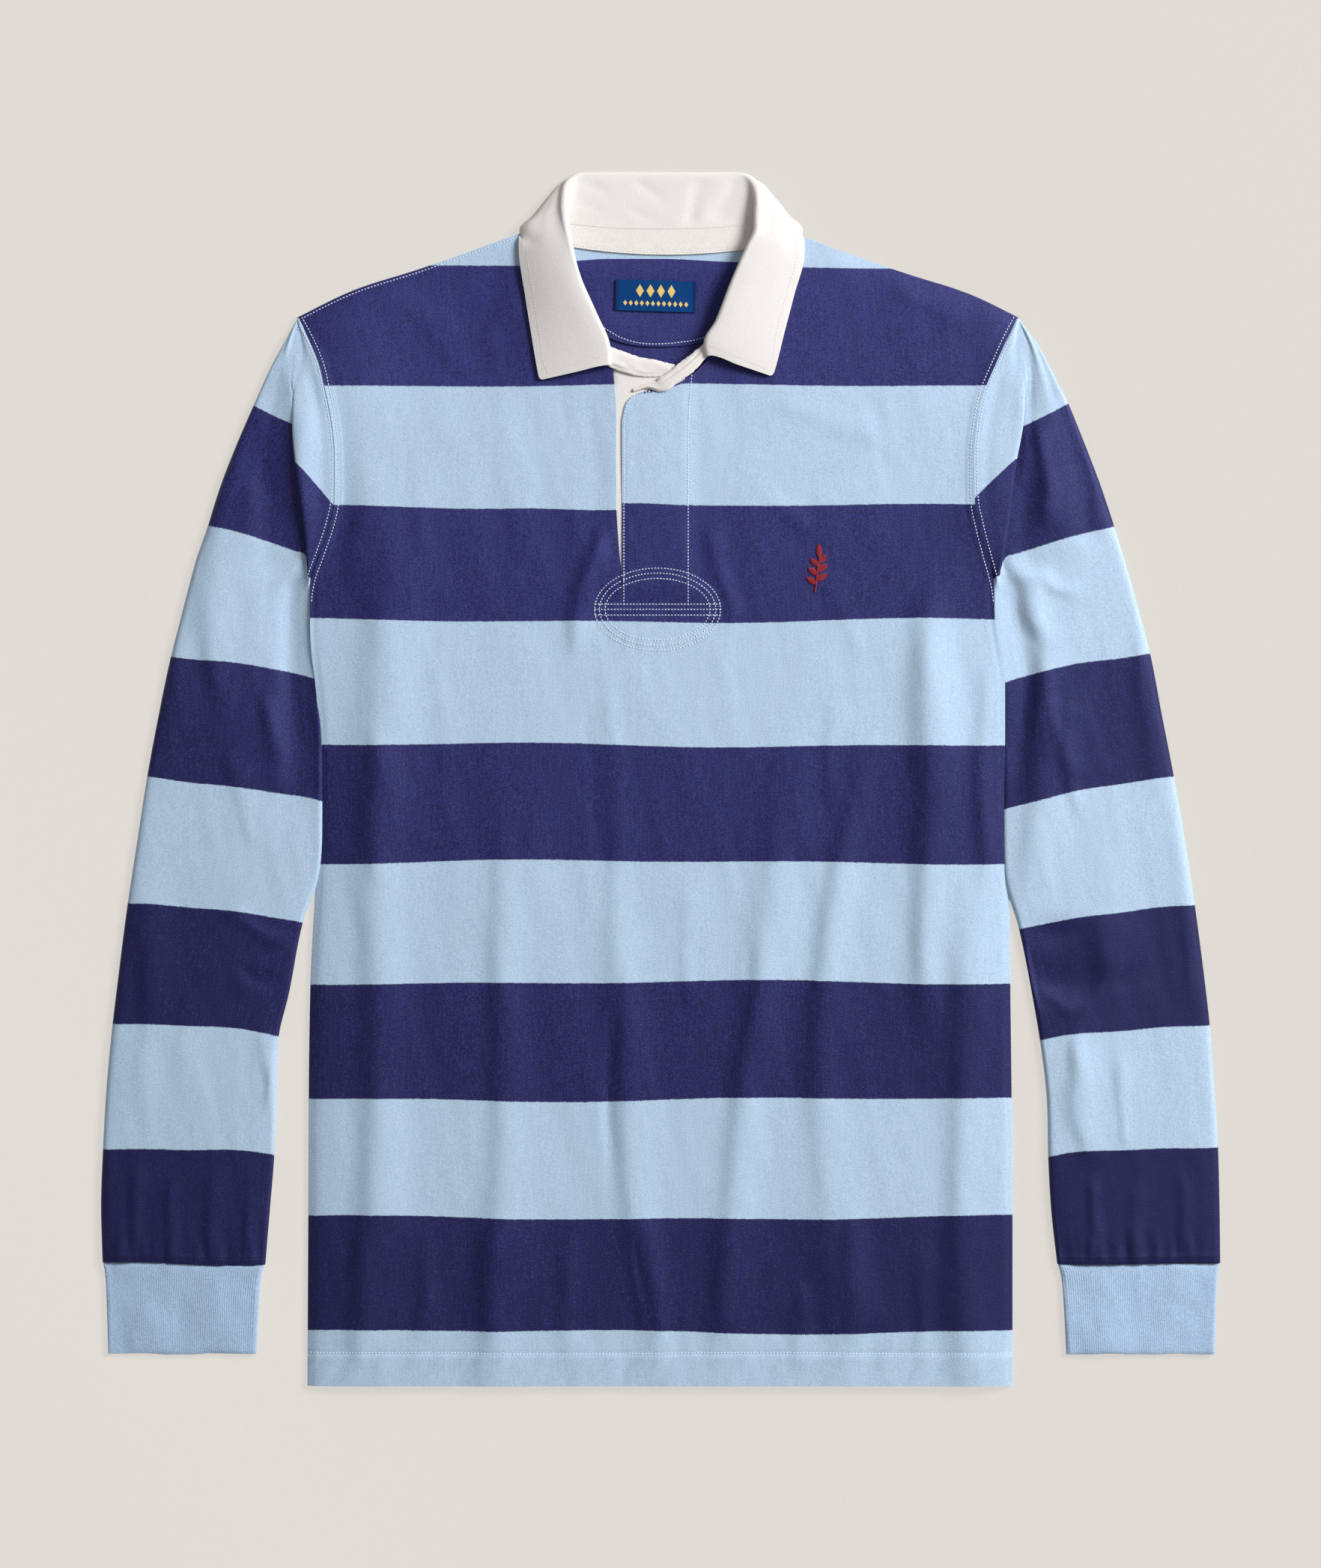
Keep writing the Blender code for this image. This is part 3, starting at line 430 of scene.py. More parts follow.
def cloth(name, grid, wall, material, weave=None, course=None, flip=False, even=True, parted=None):
    """A piece of cloth with a wall, from a grid of points (rows, columns, 3) on its middle surface.

    weave is (across, along) in mm, where the knitting or weaving lies in the flat cloth. course is
    what stripe_course gives. Points that coincide become one, and parted marks the cells left open.
    """
    rows, columns = grid.shape[:2]
    _, first, index = np.unique(
        grid.reshape(-1, 3).round(3), axis=0, return_index=True, return_inverse=True
    )
    index = index.reshape(rows, columns)
    if weave is None:
        weave = (grid[..., 0], grid[..., 1])
    across, along = (np.asarray(lengths).reshape(-1) * MM for lengths in weave)
    at = np.arange(rows * columns).reshape(rows, columns)
    faces, corners = [], []
    for i in range(rows - 1):
        for j in range(columns - 1):
            if parted is not None and parted[i, j]:
                continue
            quad = [(i, j), (i, j + 1), (i + 1, j + 1), (i + 1, j)]
            if flip:
                quad.reverse()
            face = []
            for spot in quad:
                if not face or index[spot] not in [index[other] for other in face]:
                    face.append(spot)
            if len(face) > 2:
                faces.append([int(index[spot]) for spot in face])
                corners.extend(int(at[spot]) for spot in face)
    mesh = bpy.data.meshes.new(name)
    mesh.from_pydata((grid.reshape(-1, 3)[first] * MM).tolist(), [], faces)
    uv = mesh.uv_layers.new(name="Weave")
    uv.data.foreach_set("uv", np.stack([across[corners], along[corners]], axis=-1).reshape(-1))
    if course is not None:
        layer = mesh.attributes.new("course", "FLOAT", "POINT")
        layer.data.foreach_set("value", np.asarray(course).reshape(-1)[first])
    mesh.materials.append(material)
    mesh.shade_smooth()
    obj = placed(name, mesh)
    solid = obj.modifiers.new("Wall", "SOLIDIFY")
    solid.thickness = wall * MM
    solid.offset = 0
    solid.use_even_offset = even
    solid.use_quality_normals = True
    return settled(obj)


SHARP = math.radians(52)  # an edge that turns more than this is a fold or a corner


def settled(obj):
    """The object with its modifiers worked into its mesh, and its sharp edges marked."""
    graph = bpy.context.evaluated_depsgraph_get()
    mesh = bpy.data.meshes.new_from_object(obj.evaluated_get(graph))
    obj.modifiers.clear()
    obj.data = mesh
    mesh.name = obj.name
    mesh.set_sharp_from_angle(angle=SHARP)
    return obj


def dye(red, green, blue):
    """Linear colour of a shade given as 0 to 255."""
    shades = [value / 255 for value in (red, green, blue)]
    linear = [s / 12.92 if s < 0.04045 else ((s + 0.055) / 1.055) ** 2.4 for s in shades]
    return (*linear, 1.0)


def feed(socket, value):
    """Links an output to the socket, or sets the socket to a value."""
    if isinstance(value, bpy.types.NodeSocket):
        socket.id_data.links.new(value, socket)
    else:
        socket.default_value = value


def calc(tree, operation, *values):
    """A maths node fed with numbers or sockets."""
    made = tree.nodes.new("ShaderNodeMath")
    made.operation = operation
    for socket, value in zip(made.inputs, values):
        feed(socket, value)
    return made.outputs[0]


def swung(tree, value, gain, onto=0.5, middle=0.5):
    """onto, moved by gain times the value's distance from its middle."""
    return calc(tree, "MULTIPLY_ADD", calc(tree, "SUBTRACT", value, middle), gain, onto)


def waves(tree, value, pitch=1.0):
    """A sine wave, one for each pitch of the value."""
    return calc(tree, "SINE", calc(tree, "MULTIPLY", value, 2 * math.pi / pitch))


def blended(tree, factor, first, second):
    """A colour between two, or the first where the factor is 0."""
    made = tree.nodes.new("ShaderNodeMix")
    made.data_type = "RGBA"
    for n, value in ((0, factor), (6, first), (7, second)):
        feed(made.inputs[n], value)
    return made.outputs[2]


def noise(tree, place, scale, detail):
    """Noise from about 0 to 1 at a place."""
    made = tree.nodes.new("ShaderNodeTexNoise")
    for title, value in (("Vector", place), ("Scale", scale), ("Detail", detail)):
        feed(made.inputs[title], value)
    return made.outputs["Fac"]


def own_place(tree):
    """Object coordinates in metres."""
    return tree.nodes.new("ShaderNodeTexCoord").outputs["Object"]


def split(tree, place):
    """The coordinates of a place, one by one."""
    made = tree.nodes.new("ShaderNodeSeparateXYZ")
    feed(made.inputs[0], place)
    return made.outputs


def cloudy(tree, scale, detail=2.0):
    """Noise in the object's own space, with this many features in a metre."""
    return noise(tree, own_place(tree), scale, detail)


def woven_at(tree, pitch):
    """Weave coordinates (across, along), counted in threads of the given pitch in mm."""
    flat = tree.nodes.new("ShaderNodeUVMap")
    flat.uv_map = "Weave"
    sides = split(tree, flat.outputs[0])
    return [calc(tree, "DIVIDE", sides[n], size * MM) for n, size in enumerate(pitch)]


def streaks(tree, across, along):
    """Noise drawn out along the wales, with features of this size in mm."""
    place = tree.nodes.new("ShaderNodeCombineXYZ")
    for socket, value in zip(place.inputs, woven_at(tree, (across, along))):
        feed(socket, value)
    return noise(tree, place.outputs[0], 1.0, 3.0)


def knit_relief(tree, pitch):
    """Height from 0 to 1 of plain knitting: columns of slanting legs that meet in a V."""
    wale, row = woven_at(tree, pitch)
    from_middle = calc(tree, "ABSOLUTE", calc(tree, "SUBTRACT", calc(tree, "FRACT", wale), 0.5))
    leg = calc(tree, "ABSOLUTE", waves(tree, from_middle))
    slant = calc(tree, "ADD", row, calc(tree, "MULTIPLY", from_middle, 1.4))
    return calc(tree, "MULTIPLY", leg, calc(tree, "MULTIPLY_ADD", waves(tree, slant), 0.3, 0.7))


def cloth_shader(name, roughness, sheen, gloss=0.12):
    """A matte fabric: material, tree and shader. Its even values are set on their own sockets."""
    material = bpy.data.materials.new(name)
    material.use_nodes = True
    shader = material.node_tree.nodes["Principled BSDF"]
    even = {"Roughness": roughness, "Specular IOR Level": gloss, "Sheen Weight": sheen}
    for title, value in {**even, "Sheen Roughness": 0.55}.items():
        feed(shader.inputs[title], value)
    return material, material.node_tree, shader


def finished(shader, colour, height, depth):
    """Gives a shader its colour, and a relief of this depth in mm from a height of 0 to 1."""
    tree = shader.id_data
    feed(shader.inputs["Base Color"], colour)
    made = tree.nodes.new("ShaderNodeBump")
    for title, value in (("Strength", 1.0), ("Distance", depth * MM), ("Height", height)):
        feed(made.inputs[title], value)
    feed(shader.inputs["Normal"], made.outputs["Normal"])


def striped_jersey(name, light_pair, navy_heather_and_painted_light_pair):
    """Jersey in wide stripes: its colours swap on whole courses, with the teeth of the knit. The
    navy carries painted light and shade: by its place on the shirt it is painted darker low down
    and out on the sleeves, and lighter high on the chest, as if the softbox's light fell off across
    it."""
    material, tree, shader = cloth_shader(name, 0.56, 0.05, gloss=0.75)
    feed(shader.inputs["Specular Tint"], (0.42, 0.45, 0.95, 1.0))
    course = tree.nodes.new("ShaderNodeAttribute")
    course.attribute_name = "course"
    wale, _ = woven_at(tree, (1.25, 1.0))
    teeth = calc(tree, "PINGPONG", wale, 0.5)
    jagged = swung(tree, teeth, 0.018, onto=course.outputs["Fac"], middle=0.25)
    ragged = swung(tree, cloudy(tree, 420), 0.012, onto=jagged)
    navy = calc(tree, "FLOORED_MODULO", calc(tree, "FLOOR", ragged), 2.0)
    fine = swung(tree, cloudy(tree, 1000, 4.0), 2.4)
    broad = swung(tree, streaks(tree, 1.4, 16.0), 1.8)
    mottle = calc(tree, "MULTIPLY_ADD", fine, 0.7, calc(tree, "MULTIPLY", broad, 0.3))
    right, up, _ = split(tree, own_place(tree))
    # Painted light and shade: this factor from the place on the shirt makes the navy lighter high
    # up and darker low down and out on the sleeves. The heather mottle is added to it, and the sum
    # picks between the dark and the bright navy.
    beside = calc(tree, "MULTIPLY_ADD", right, -3.0, -0.3)
    upwards = calc(tree, "MULTIPLY_ADD", up, 0.75, 0.33)
    depth = swung(tree, mottle, 1.7, onto=calc(tree, "MULTIPLY_ADD", right, beside, upwards))
    pair = blended(tree, mottle, *light_pair), blended(tree, depth, *navy_heather_and_painted_light_pair)
    loops, fuzz = knit_relief(tree, (0.95, 0.8)), calc(tree, "MULTIPLY", fine, 0.6)
    finished(shader, blended(tree, navy, *pair), calc(tree, "MULTIPLY_ADD", loops, 0.4, fuzz), 0.14)
    return material


LIGHT_YARN = (dye(161, 187, 210), dye(196, 218, 237))
# The dark navy is painted shade and the bright one painted light, standing in for the fall-off of
# the softbox's light across the shirt. The heather mottle also mixes between them.
NAVY_HEATHER_AND_PAINTED_LIGHT = (dye(8, 8, 58), dye(50, 49, 118))
jersey = striped_jersey("Striped jersey", LIGHT_YARN, NAVY_HEATHER_AND_PAINTED_LIGHT)

CHEST_Y = 100.5  # from here up the rows are set by the end of the slit
front_rows = np.concatenate(
    [
        spaced((28, 20), (CHEST_Y - HEM_Y, 146)) + HEM_Y,
        spaced((SLIT_END_Y - CHEST_Y, 7), (FAN_Y - CHEST_Y, 15))[1:] + CHEST_Y,
        spaced((TIP_Y - FAN_Y, 62))[1:] + FAN_Y,
    ]
)
right_columns = spaced((10, 8), (160, 49), (210, 18)) / 210
left_columns = spaced((14, 9), (100, 30), (256, 51), (266, 8)) / 266
halves = [front_half(front_rows, right_columns, -1), front_half(front_rows, left_columns, 1)]
front_grid = np.concatenate(halves, axis=1)
slit_column = len(right_columns)
slit_cells = np.zeros((len(front_rows) - 1, front_grid.shape[1] - 1), bool)
slit_cells[front_rows[1:] > SLIT_END_Y + 0.1, slit_column - 1] = True
front_courses = front_course(front_grid, slit_column)
front = cloth("front_cloth", front_grid, JERSEY, jersey, course=front_courses, parted=slit_cells)
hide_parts("front")
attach(front, "root")


# ==== Back ====
# The back panel is the same jersey. It lies flat on the table, and its neck shows inside the
# collar, where the first stripe sits a little higher than on the front.
BACK_NECK_Y = 367.5
BACK_COLUMNS = 109
COLLAR_ROOM = 2.1  # how far the neck is lifted by the collar folded under it
BACK_CREASES = table(
    CREASE_COLUMNS,
    (-150, 180, -140, 20, -156, -150, 13, 0.7),
    (-60, 120, -72, -60, -58, -230, 10, 0.6),
    (40, 60, 30, -120, 44, -330, 12, 0.7),
    (120, 200, 134, 60, 122, -90, 11, 0.6),
    (170, -60, 160, -200, 172, -360, 13, 0.7),
    (-100, -200, -110, -290, -98, -380, 9, 0.5),
)


def back_top(x):
    """The upper edge of the back: shoulder seams and the shallow back neckline."""
    out = np.abs(x)
    neck = BACK_NECK_Y + (NECK_SIDE_Y - BACK_NECK_Y) * (out / NECK_SIDE) ** 2
    return np.where(out > NECK_SIDE, shoulder_y(out), neck)


def back_height(x, y):
    """Height of the back's underside over the table."""
    return COLLAR_ROOM * ramp(y, 313, 343) * (1 - ramp(np.abs(x), 99, 116))


back_rows = np.concatenate(
    [spaced((FAN_Y - HEM_Y, 110)) + HEM_Y, spaced((TIP_Y - FAN_Y, 60))[1:] + FAN_Y]
)
row, fraction = np.meshgrid(back_rows, np.linspace(0, 1, BACK_COLUMNS), indexing="ij")
x = lerp(side_x(row, -1), side_x(row, 1), fraction)
side_top = shoulder_y(np.abs(lerp(side_x(row, -1), -side_x(row, 1), fraction)))
y = fanned(row, back_top(x), side_top)
inside = np.minimum(x - side_x(row, -1), side_x(row, 1) - x)
z = back_height(x, y) + JERSEY / 2 + creased(BACK_CREASES, x, y) * ramp(inside, 10, 40)
back_grid = np.stack([x, y, z], axis=-1)
higher = 4.0 * ramp(y, 290, 340) * bump(x, 110)
back_course = stripe_course(y + slow_wave(x, y) - higher)
back = cloth("back_cloth", back_grid, JERSEY, jersey, course=back_course)
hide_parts("back")
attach(back, "root")


# ==== Sleeves ====
# Each sleeve is one cut of the striped jersey, sewn into a tube and set into the armhole. At its
# head the cloth beside the armhole folds over the rest, and it gathers into the cuff.
# Rows across the head: the armhole seam, the edge of the flap, the place where the layer under it
# comes out, and the outer edge. The fold is tucked in by depth, on a layer that foot raises.
HEAD_COLUMNS = "seam_y flap_out flap_y emerge_out emerge_y outer_out outer_y depth rise foot"
HEAD_RIGHT = table(
    HEAD_COLUMNS,
    (307.4, 242.5, 307, 242.8, 306.8, 243.6, 306.4, 0, 0, 1.5),
    (280, 240.6, 284.9, 244.6, 286.6, 252.4, 290, 0, 0, 1.4),
    (250, 244.4, 260, 246.8, 266.5, 259.9, 276.5, 0.2, 1.2, 3),
    (215, 245.4, 236, 245.9, 254, 266.2, 263, 5, 2.6, 4),
    (182, 243.4, 211.5, 245.9, 236.5, 272.2, 249.5, 13, 2.6, 4.4),
    (167, 239.9, 185, 242.9, 206.5, 283.9, 222.5, 10, 2.8, 3.8),
    (150, 236.9, 159, 238.4, 176, 294.4, 195.5, 4, 3.4, 1.8),
    (132, 235.4, 135, 236.6, 147, 302.9, 168.5, 0.5, 3.2, 0.4),
)
HEAD_LEFT = table(
    HEAD_COLUMNS,
    (307.4, 238.4, 307, 238.8, 306.8, 239.8, 306.4, 0, 0, 1.5),
    (280, 238.6, 285, 242.8, 286.8, 251.6, 290, 0, 0, 1.4),
    (252.5, 242.2, 260.4, 244.4, 266.5, 259.1, 276.5, 0.3, 1.6, 0.8),
    (220, 241.1, 236, 242.6, 252.5, 265.6, 263.5, 5, 3.4, 0),
    (186.5, 237.1, 214, 241.1, 235, 272.1, 250.5, 13, 4.4, 0),
    (168.5, 234.6, 190, 237.6, 206, 283.1, 223.5, 10, 4.4, 0),
    (149.5, 231.1, 164, 233.6, 176, 293.6, 196, 5, 4.4, 0),
    (132.5, 225.2, 134, 228.4, 144, 302.6, 169, 0.5, 3.4, 0),
)
# Rows across the arm, from its inner edge to its outer one.
ARM_COLUMNS = "seam_out seam_y outer_out outer_y"
ARM_RIGHT = table(
    ARM_COLUMNS,
    (234.6, 122, 310.4, 147),
    (234.3, 106, 316.4, 125),
    (233.2, 86, 321.9, 103.5),
    (230.9, 65, 327.4, 82),
    (228, 24.5, 335.9, 41.5),
    (228.4, -16.5, 343.4, 1),
    (230.2, -57.5, 349.9, -41),
    (239.4, -96, 356.4, -83.5),
    (249, -145, 363, -135),
    (255.4, -172, 366.4, -163),
    (257, -211.5, 370.4, -205),
    (258.4, -251.5, 372.9, -247.5),
    (261.4, -288.5, 374.2, -286),
    (264.4, -323.8, 373.2, -323.8),
)
ARM_LEFT = table(
    ARM_COLUMNS,
    (222.4, 122, 309.1, 148),
    (222.9, 104, 315.1, 127.5),
    (226.2, 83.5, 321.1, 105.5),
    (229.2, 62.5, 326.6, 84),
    (229.7, 21, 334.6, 42.5),
    (231.2, -21, 342.6, 1.5),
    (232.2, -62.5, 350.1, -41),
    (239.1, -100.5, 356.6, -84.5),
    (248, -145, 363.2, -135),
    (253.1, -175, 366.6, -165),
    (257.6, -213.5, 369.6, -205),
    (258.6, -253, 372.1, -246),
    (260.6, -288.5, 373.1, -285),
    (264.6, -323.8, 373.6, -323.8),
)
# Colour changes that lie above each row of the tables: whole numbers fall on the changes.
HEAD_COURSES = (0.1, 0.25, 0.45, 0.7, 1.0, 1.33, 1.67, 2.0)
ARM_COURSES = (2.25, 2.5, 2.75, 3.0, 3.5, 4.0, 4.5, 5.0, 5.64, 6.0, 6.5, 7.0, 7.5, 7.95)
RIGHT_CREASES = table(
    CREASE_COLUMNS,
    (-239, 255, -240, 220, -239, 160, 6, 1.4),
    (-264, 250, -262, 150, -250, 20, 13, -1.5),
    (-278, 265, -298, 150, -290, 20, 13, 2.2),
    (-226, 110, -222, 20, -226, -75, 11, 2.2),
    (-268, 66, -259, 28, -250, -20, 7, 1.35),
    (-290, 30, -282, -10, -270, -50, 6, 0.75),
    (-292, -84, -270, -102, -246, -112, 5.5, 1.35),
    (-286, -122, -270, -134, -250, -136, 4.5, -0.9),
    (-268, -160, -262, -190, -263, -228, 6, 1.35),
    (-342, -60, -343, -160, -340, -250, 11.5, 1.35),
    (-312, -130, -316, -180, -310, -230, 10.5, 0.6),
    (-353, -250, -351, -290, -354, -330, 5.5, 1.2),
    (-326, -262, -328, -292, -325, -330, 5, 1.05),
    (-298, -256, -301, -292, -298, -330, 5.5, 1.2),
    (-278, -270, -276, -298, -279, -330, 4.5, 0.9),
    (-330, 110, -326, 60, -332, 10, 8, 0.75),
)
LEFT_CREASES = table(
    CREASE_COLUMNS,
    (240, 290, 243.5, 245, 241, 190, 7, 1.2),
    (251, 245, 256, 205, 259, 160, 7, 2.25),
    (232, 158, 243, 124, 258, 84, 8, 2.55),
    (246, 140, 262, 128, 284, 122, 5.5, 1.2),
    (258, 110, 251, 10, 247, -90, 11.5, 3.2),
    (262, 60, 268, 20, 282, -30, 7, 1.2),
    (276, 60, 271, 30, 273, -5, 7, 0.9),
    (255, -88, 259, -125, 262, -158, 27, -3.3),
    (290, -84, 296, -120, 289, -156, 12, 2),
    (248, -138, 262, -148, 280, -156, 6, 0.9),
    (276, -160, 278, -208, 286, -262, 8, 2.6),
    (304, -180, 307, -214, 309, -254, 4.5, 0.9),
    (289, -262, 288, -290, 291, -330, 5, 1.35),
    (318, -264, 316, -294, 319, -330, 5.5, 1.05),
    (346, -258, 349, -290, 346, -330, 5.5, 1.05),
    (318, 130, 322, 60, 332, -30, 9.5, 0.9),
    (344, 0, 350, -80, 358, -170, 9, 0.9),
    (286, 236, 290, 200, 300, 150, 9, 1.05),
)
SLEEVE_WALL = 1.2
UNDERSIDE = SLEEVE_WALL / 2  # middle of the layer that lies on the table
SLEEVE_LOFT = 5.0
SLEEVE_LOW = 3.1  # height of the layer under the head's fold
ROLL = 1.2  # radius of a turned edge
BODY_LAP = -3.4  # below the armhole the tube touches the side of the body
ARMHOLE_LAP = -0.3  # the sleeve reaches under the edge of the body
CUFF_SEAM_Y = -323.8


def unit(vectors):
    """The same directions, each with a length of 1."""
    return vectors / np.linalg.norm(vectors, axis=-1, keepdims=True)


def outer_layers(start, outer, low, crown, roll):
    """The upper layer from start to the sleeve's outer edge, and the turn there."""
    middle = (crown + UNDERSIDE) / 2
    if low < crown:
        swell = (lerp(low, crown, 0.05), crown, crown + 1.0)
    else:
        swell = (lerp(low, crown, 0.2), lerp(low, crown, 0.62), crown)
    spots = (0.0, 0.12, 0.34, 0.58, 0.8, 0.955)
    heights = (low, *swell, crown, lerp(middle, crown, 0.85))
    ring = [(lerp(start, outer, t), height) for t, height in zip(spots, heights)]
    back_in = unit(start - outer) * roll
    return ring + [(outer, middle), (outer + back_in, UNDERSIDE)]


def head_ring(row, seam, seam_loft):
    """Points round one row of the sleeve's head, from the front armhole seam to the back one."""
    flap = np.array([row["flap_out"], row["flap_y"]])
    emerge = np.array([row["emerge_out"], row["emerge_y"]])
    outer = np.array([row["outer_out"] - UNDERSIDE, row["outer_y"]])
    width = np.linalg.norm(outer - seam)
    roll = min(ROLL, width / 12)
    inward = unit(seam - flap)
    depth, rise = row["depth"], row["rise"]
    tip_drop = 2.2 * ramp(row["seam_y"], 285, 307)
    low = SLEEVE_LOW + row["foot"] - tip_drop
    turn = min(roll, depth / 3)
    base = SLEEVE_LOW + 1.5 * ramp(row["seam_y"], 225, 280) - tip_drop
    crown = base + (SLEEVE_LOFT - base) * ramp(width, 10, 45)
    tuck = lerp(flap, emerge, 0.5)
    ring = [(seam, seam_loft)]
    for t in (0.3, 0.65):
        arch = 0.4 * math.sin(math.pi * t)
        ring.append((lerp(seam, flap, t), lerp(seam_loft, low + rise, t) + arch))
    ring += [
        (flap + inward * roll, low + rise),
        (flap, low + 0.78 * rise),
        (lerp(flap, tuck, 0.4) + inward * turn, low + 0.6 * rise),
        (tuck + inward * depth / 2, low + 0.5 * rise),
        (lerp(tuck, emerge, 0.4) + inward * (depth - turn), low + 0.4 * rise),
        (lerp(tuck, emerge, 0.6) + inward * depth, low + 0.22 * rise),
        (lerp(tuck, emerge, 0.8) + inward * (depth - roll), low),
    ]
    ring += outer_layers(emerge - inward * roll, outer, low, crown, roll)
    return ring + [(lerp(outer, seam, t), UNDERSIDE) for t in (0.3, 0.65, 1)]


def arm_ring(row, clear):
    """Points round one row of the closed tube, starting and ending at its inner edge."""
    seam = np.array([row["seam_out"] + clear, row["seam_y"]])
    outer = np.array([row["outer_out"] - UNDERSIDE, row["outer_y"]])
    middle = (SLEEVE_LOFT + UNDERSIDE) / 2
    across = unit(outer - seam)
    tucked = ramp(row["seam_y"], -50, 30)
    turned = lerp(SLEEVE_LOFT - 0.7, 3.3, tucked)
    ring = [(seam, lerp(middle, 2.0, tucked)), (seam + across * 1.4, turned)]
    spots = (0.035, 0.06, 0.09, 0.12, 0.15, 0.19, 0.23, 0.28)
    free = (-0.3, -0.1, 0.1, 0.25, 0.3, 0.35, 0.4, 0.4)
    beside_body = (-0.7, -1.0, -1.5, -1.9, -2.3, -2.4, -1.7, -0.3)
    for t, bulge, dip in zip(spots, free, beside_body):
        ring.append((lerp(seam, outer, t), SLEEVE_LOFT + lerp(bulge, dip, tucked)))
    ring += outer_layers(lerp(seam, outer, 0.34), outer, SLEEVE_LOFT + 0.4, SLEEVE_LOFT, ROLL)
    ring += [(lerp(outer, seam, 0.3), UNDERSIDE), (seam + across * 1.6, UNDERSIDE)]
    return ring + [(seam, middle)]


def armhole(y, side, gap):
    """The point (out, y) beside the armhole seam, this far on the sleeve's side of it."""
    ends = np.array([y - 1, y + 1])
    outs = side * side_x(ends, side)
    along = unit(np.array([outs[1] - outs[0], 2.0]))
    return np.array([outs.mean(), y]) + gap * np.array([along[1], -along[0]])


def travelled(points, axis):
    """Distance gone along an axis of a grid of points, from 0."""
    steps = np.linalg.norm(np.diff(points, axis=axis), axis=-1)
    start = np.zeros_like(np.take(steps, [0], axis=axis))
    return np.concatenate([start, np.cumsum(steps, axis=axis)], axis=axis)


def refined(grid, spacing, steps):
    """The smooth sheet through a coarse grid: rows at an even spacing, and each stretch between two
    columns cut into its number of steps. Also gives the places of the new rows and columns."""
    down = travelled(grid, 0).mean(axis=1)
    rows_at = np.linspace(0, down[-1], int(down[-1] / spacing) + 2)
    rows = smooth(down, grid, rows_at)
    stretches = [n + np.arange(1, count + 1) / count for n, count in enumerate(steps)]
    columns_at = np.concatenate([[0], *stretches])
    fine = []
    for ring in rows:
        reach = travelled(ring, 0) + 0.01 * np.arange(len(ring))
        fine.append(smooth(reach, ring, np.interp(columns_at, np.arange(len(ring)), reach)))
    return np.array(fine), np.interp(rows_at, down, np.arange(len(grid))), columns_at


RING_STEPS = (4, 4, 3, 2, 2, 3, 2, 3, 3, 3, 5, 8, 9, 9, 7, 3, 3, 6, 6, 5)
ROW_SPACING = 2.8
GATHER_REACH = 30.0
WELT_Y = 4.2  # the row of stitches above the cuff seam, which holds a welt down


def sleeve(name, head, arm, creases, side):
    """The sleeve's cloth on its rows, with creases on the upper layer and gathers at the cuff."""
    rings = []
    steps = np.arange(2 * len(head["depth"]) - 1) / 2
    whole = np.arange(len(head["depth"]))
    for step in steps:
        row = {column: float(smooth(whole, values, step)) for column, values in head.items()}
        seam = armhole(row["seam_y"], side, ARMHOLE_LAP)
        under = 1.8 * (1 - ramp(row["seam_y"], ARMHOLE_END_Y - 2, ARMHOLE_END_Y + 14))
        rings.append(head_ring(row, seam, float(read(SIDE, "loft", "y", row["seam_y"]) - under)))
    for row in rows_of(arm):
        clear = BODY_LAP * (1 - ramp(-row["seam_y"], 60, 100)) + UNDERSIDE
        rings.append(arm_ring(row, clear))
    coarse = np.array([[(side * spot[0], spot[1], z) for spot, z in ring] for ring in rings])
    grid, rows_at, columns_at = refined(coarse, ROW_SPACING, RING_STEPS)
    courses = np.concatenate([np.interp(steps, whole, HEAD_COURSES), ARM_COURSES])
    x, y = grid[..., 0], grid[..., 1]
    upper = ramp(columns_at, 0, 2) * (1 - ramp(columns_at, 14.3, 16))
    above_cuff = y - CUFF_SEAM_Y
    gathers = drift(x, y, 4.2, 26, 11) + 0.6 * drift(x, y, 2.4, 15, 12)
    gathers = 0.8 * gathers * bump(above_cuff - 2, GATHER_REACH / 2)
    welt = 0.5 * (1 - ramp(above_cuff, 4.3, 6.3)) - 0.8 * bump(above_cuff - WELT_Y, 0.9)
    closing = -1.0 * bump(above_cuff, 1.2)
    from_seam = np.abs(np.abs(x) - np.abs(side_x(y, side))) + 90 * (columns_at > 3.5)
    beside_seam = 1.5 * ramp(y, 150, 200) * (1 - ramp(y, 255, 285))
    head_seam = seam_band(from_seam, 2.6, 3.4) - beside_seam * bump(from_seam - 6.5, 4.5)
    head_seam = head_seam * (y > ARMHOLE_END_Y)
    lift = creased(creases, x, y) + rumpled(x + 300, y) + gathers + welt + closing + head_seam
    grid[..., 2] = np.maximum(grid[..., 2] + upper * lift, UNDERSIDE)
    sway = {-1: 1.2, 1: 0.5}[side] * np.sin((np.abs(x) - 320) / 22)
    grid[..., 1] += sway * (1 - ramp(above_cuff, 2, 40))
    inner, outer = np.abs(x).min(axis=1, keepdims=True), np.abs(x).max(axis=1, keepdims=True)
    across = (np.abs(x) - inner) / (outer - inner + 0.01)
    bow = 0.032 * np.sin(math.pi * across**0.65) * ramp(rows_at, 8, 14)[:, None]
    wave = bow + 0.006 * np.sin(x / 21 + y / 50) + 0.004 * np.sin(x / 9 + 2)
    course = np.interp(rows_at, np.arange(len(courses)), courses)[:, None] + wave
    course = np.clip(course, 0.02, 7.99)
    along = np.broadcast_to(travelled(grid, 0).mean(axis=1)[:, None], x.shape)
    weave = (travelled(grid, 1), -along)
    flip = side > 0
    return cloth(name, grid, SLEEVE_WALL, jersey, weave=weave, course=course, flip=flip, even=False)


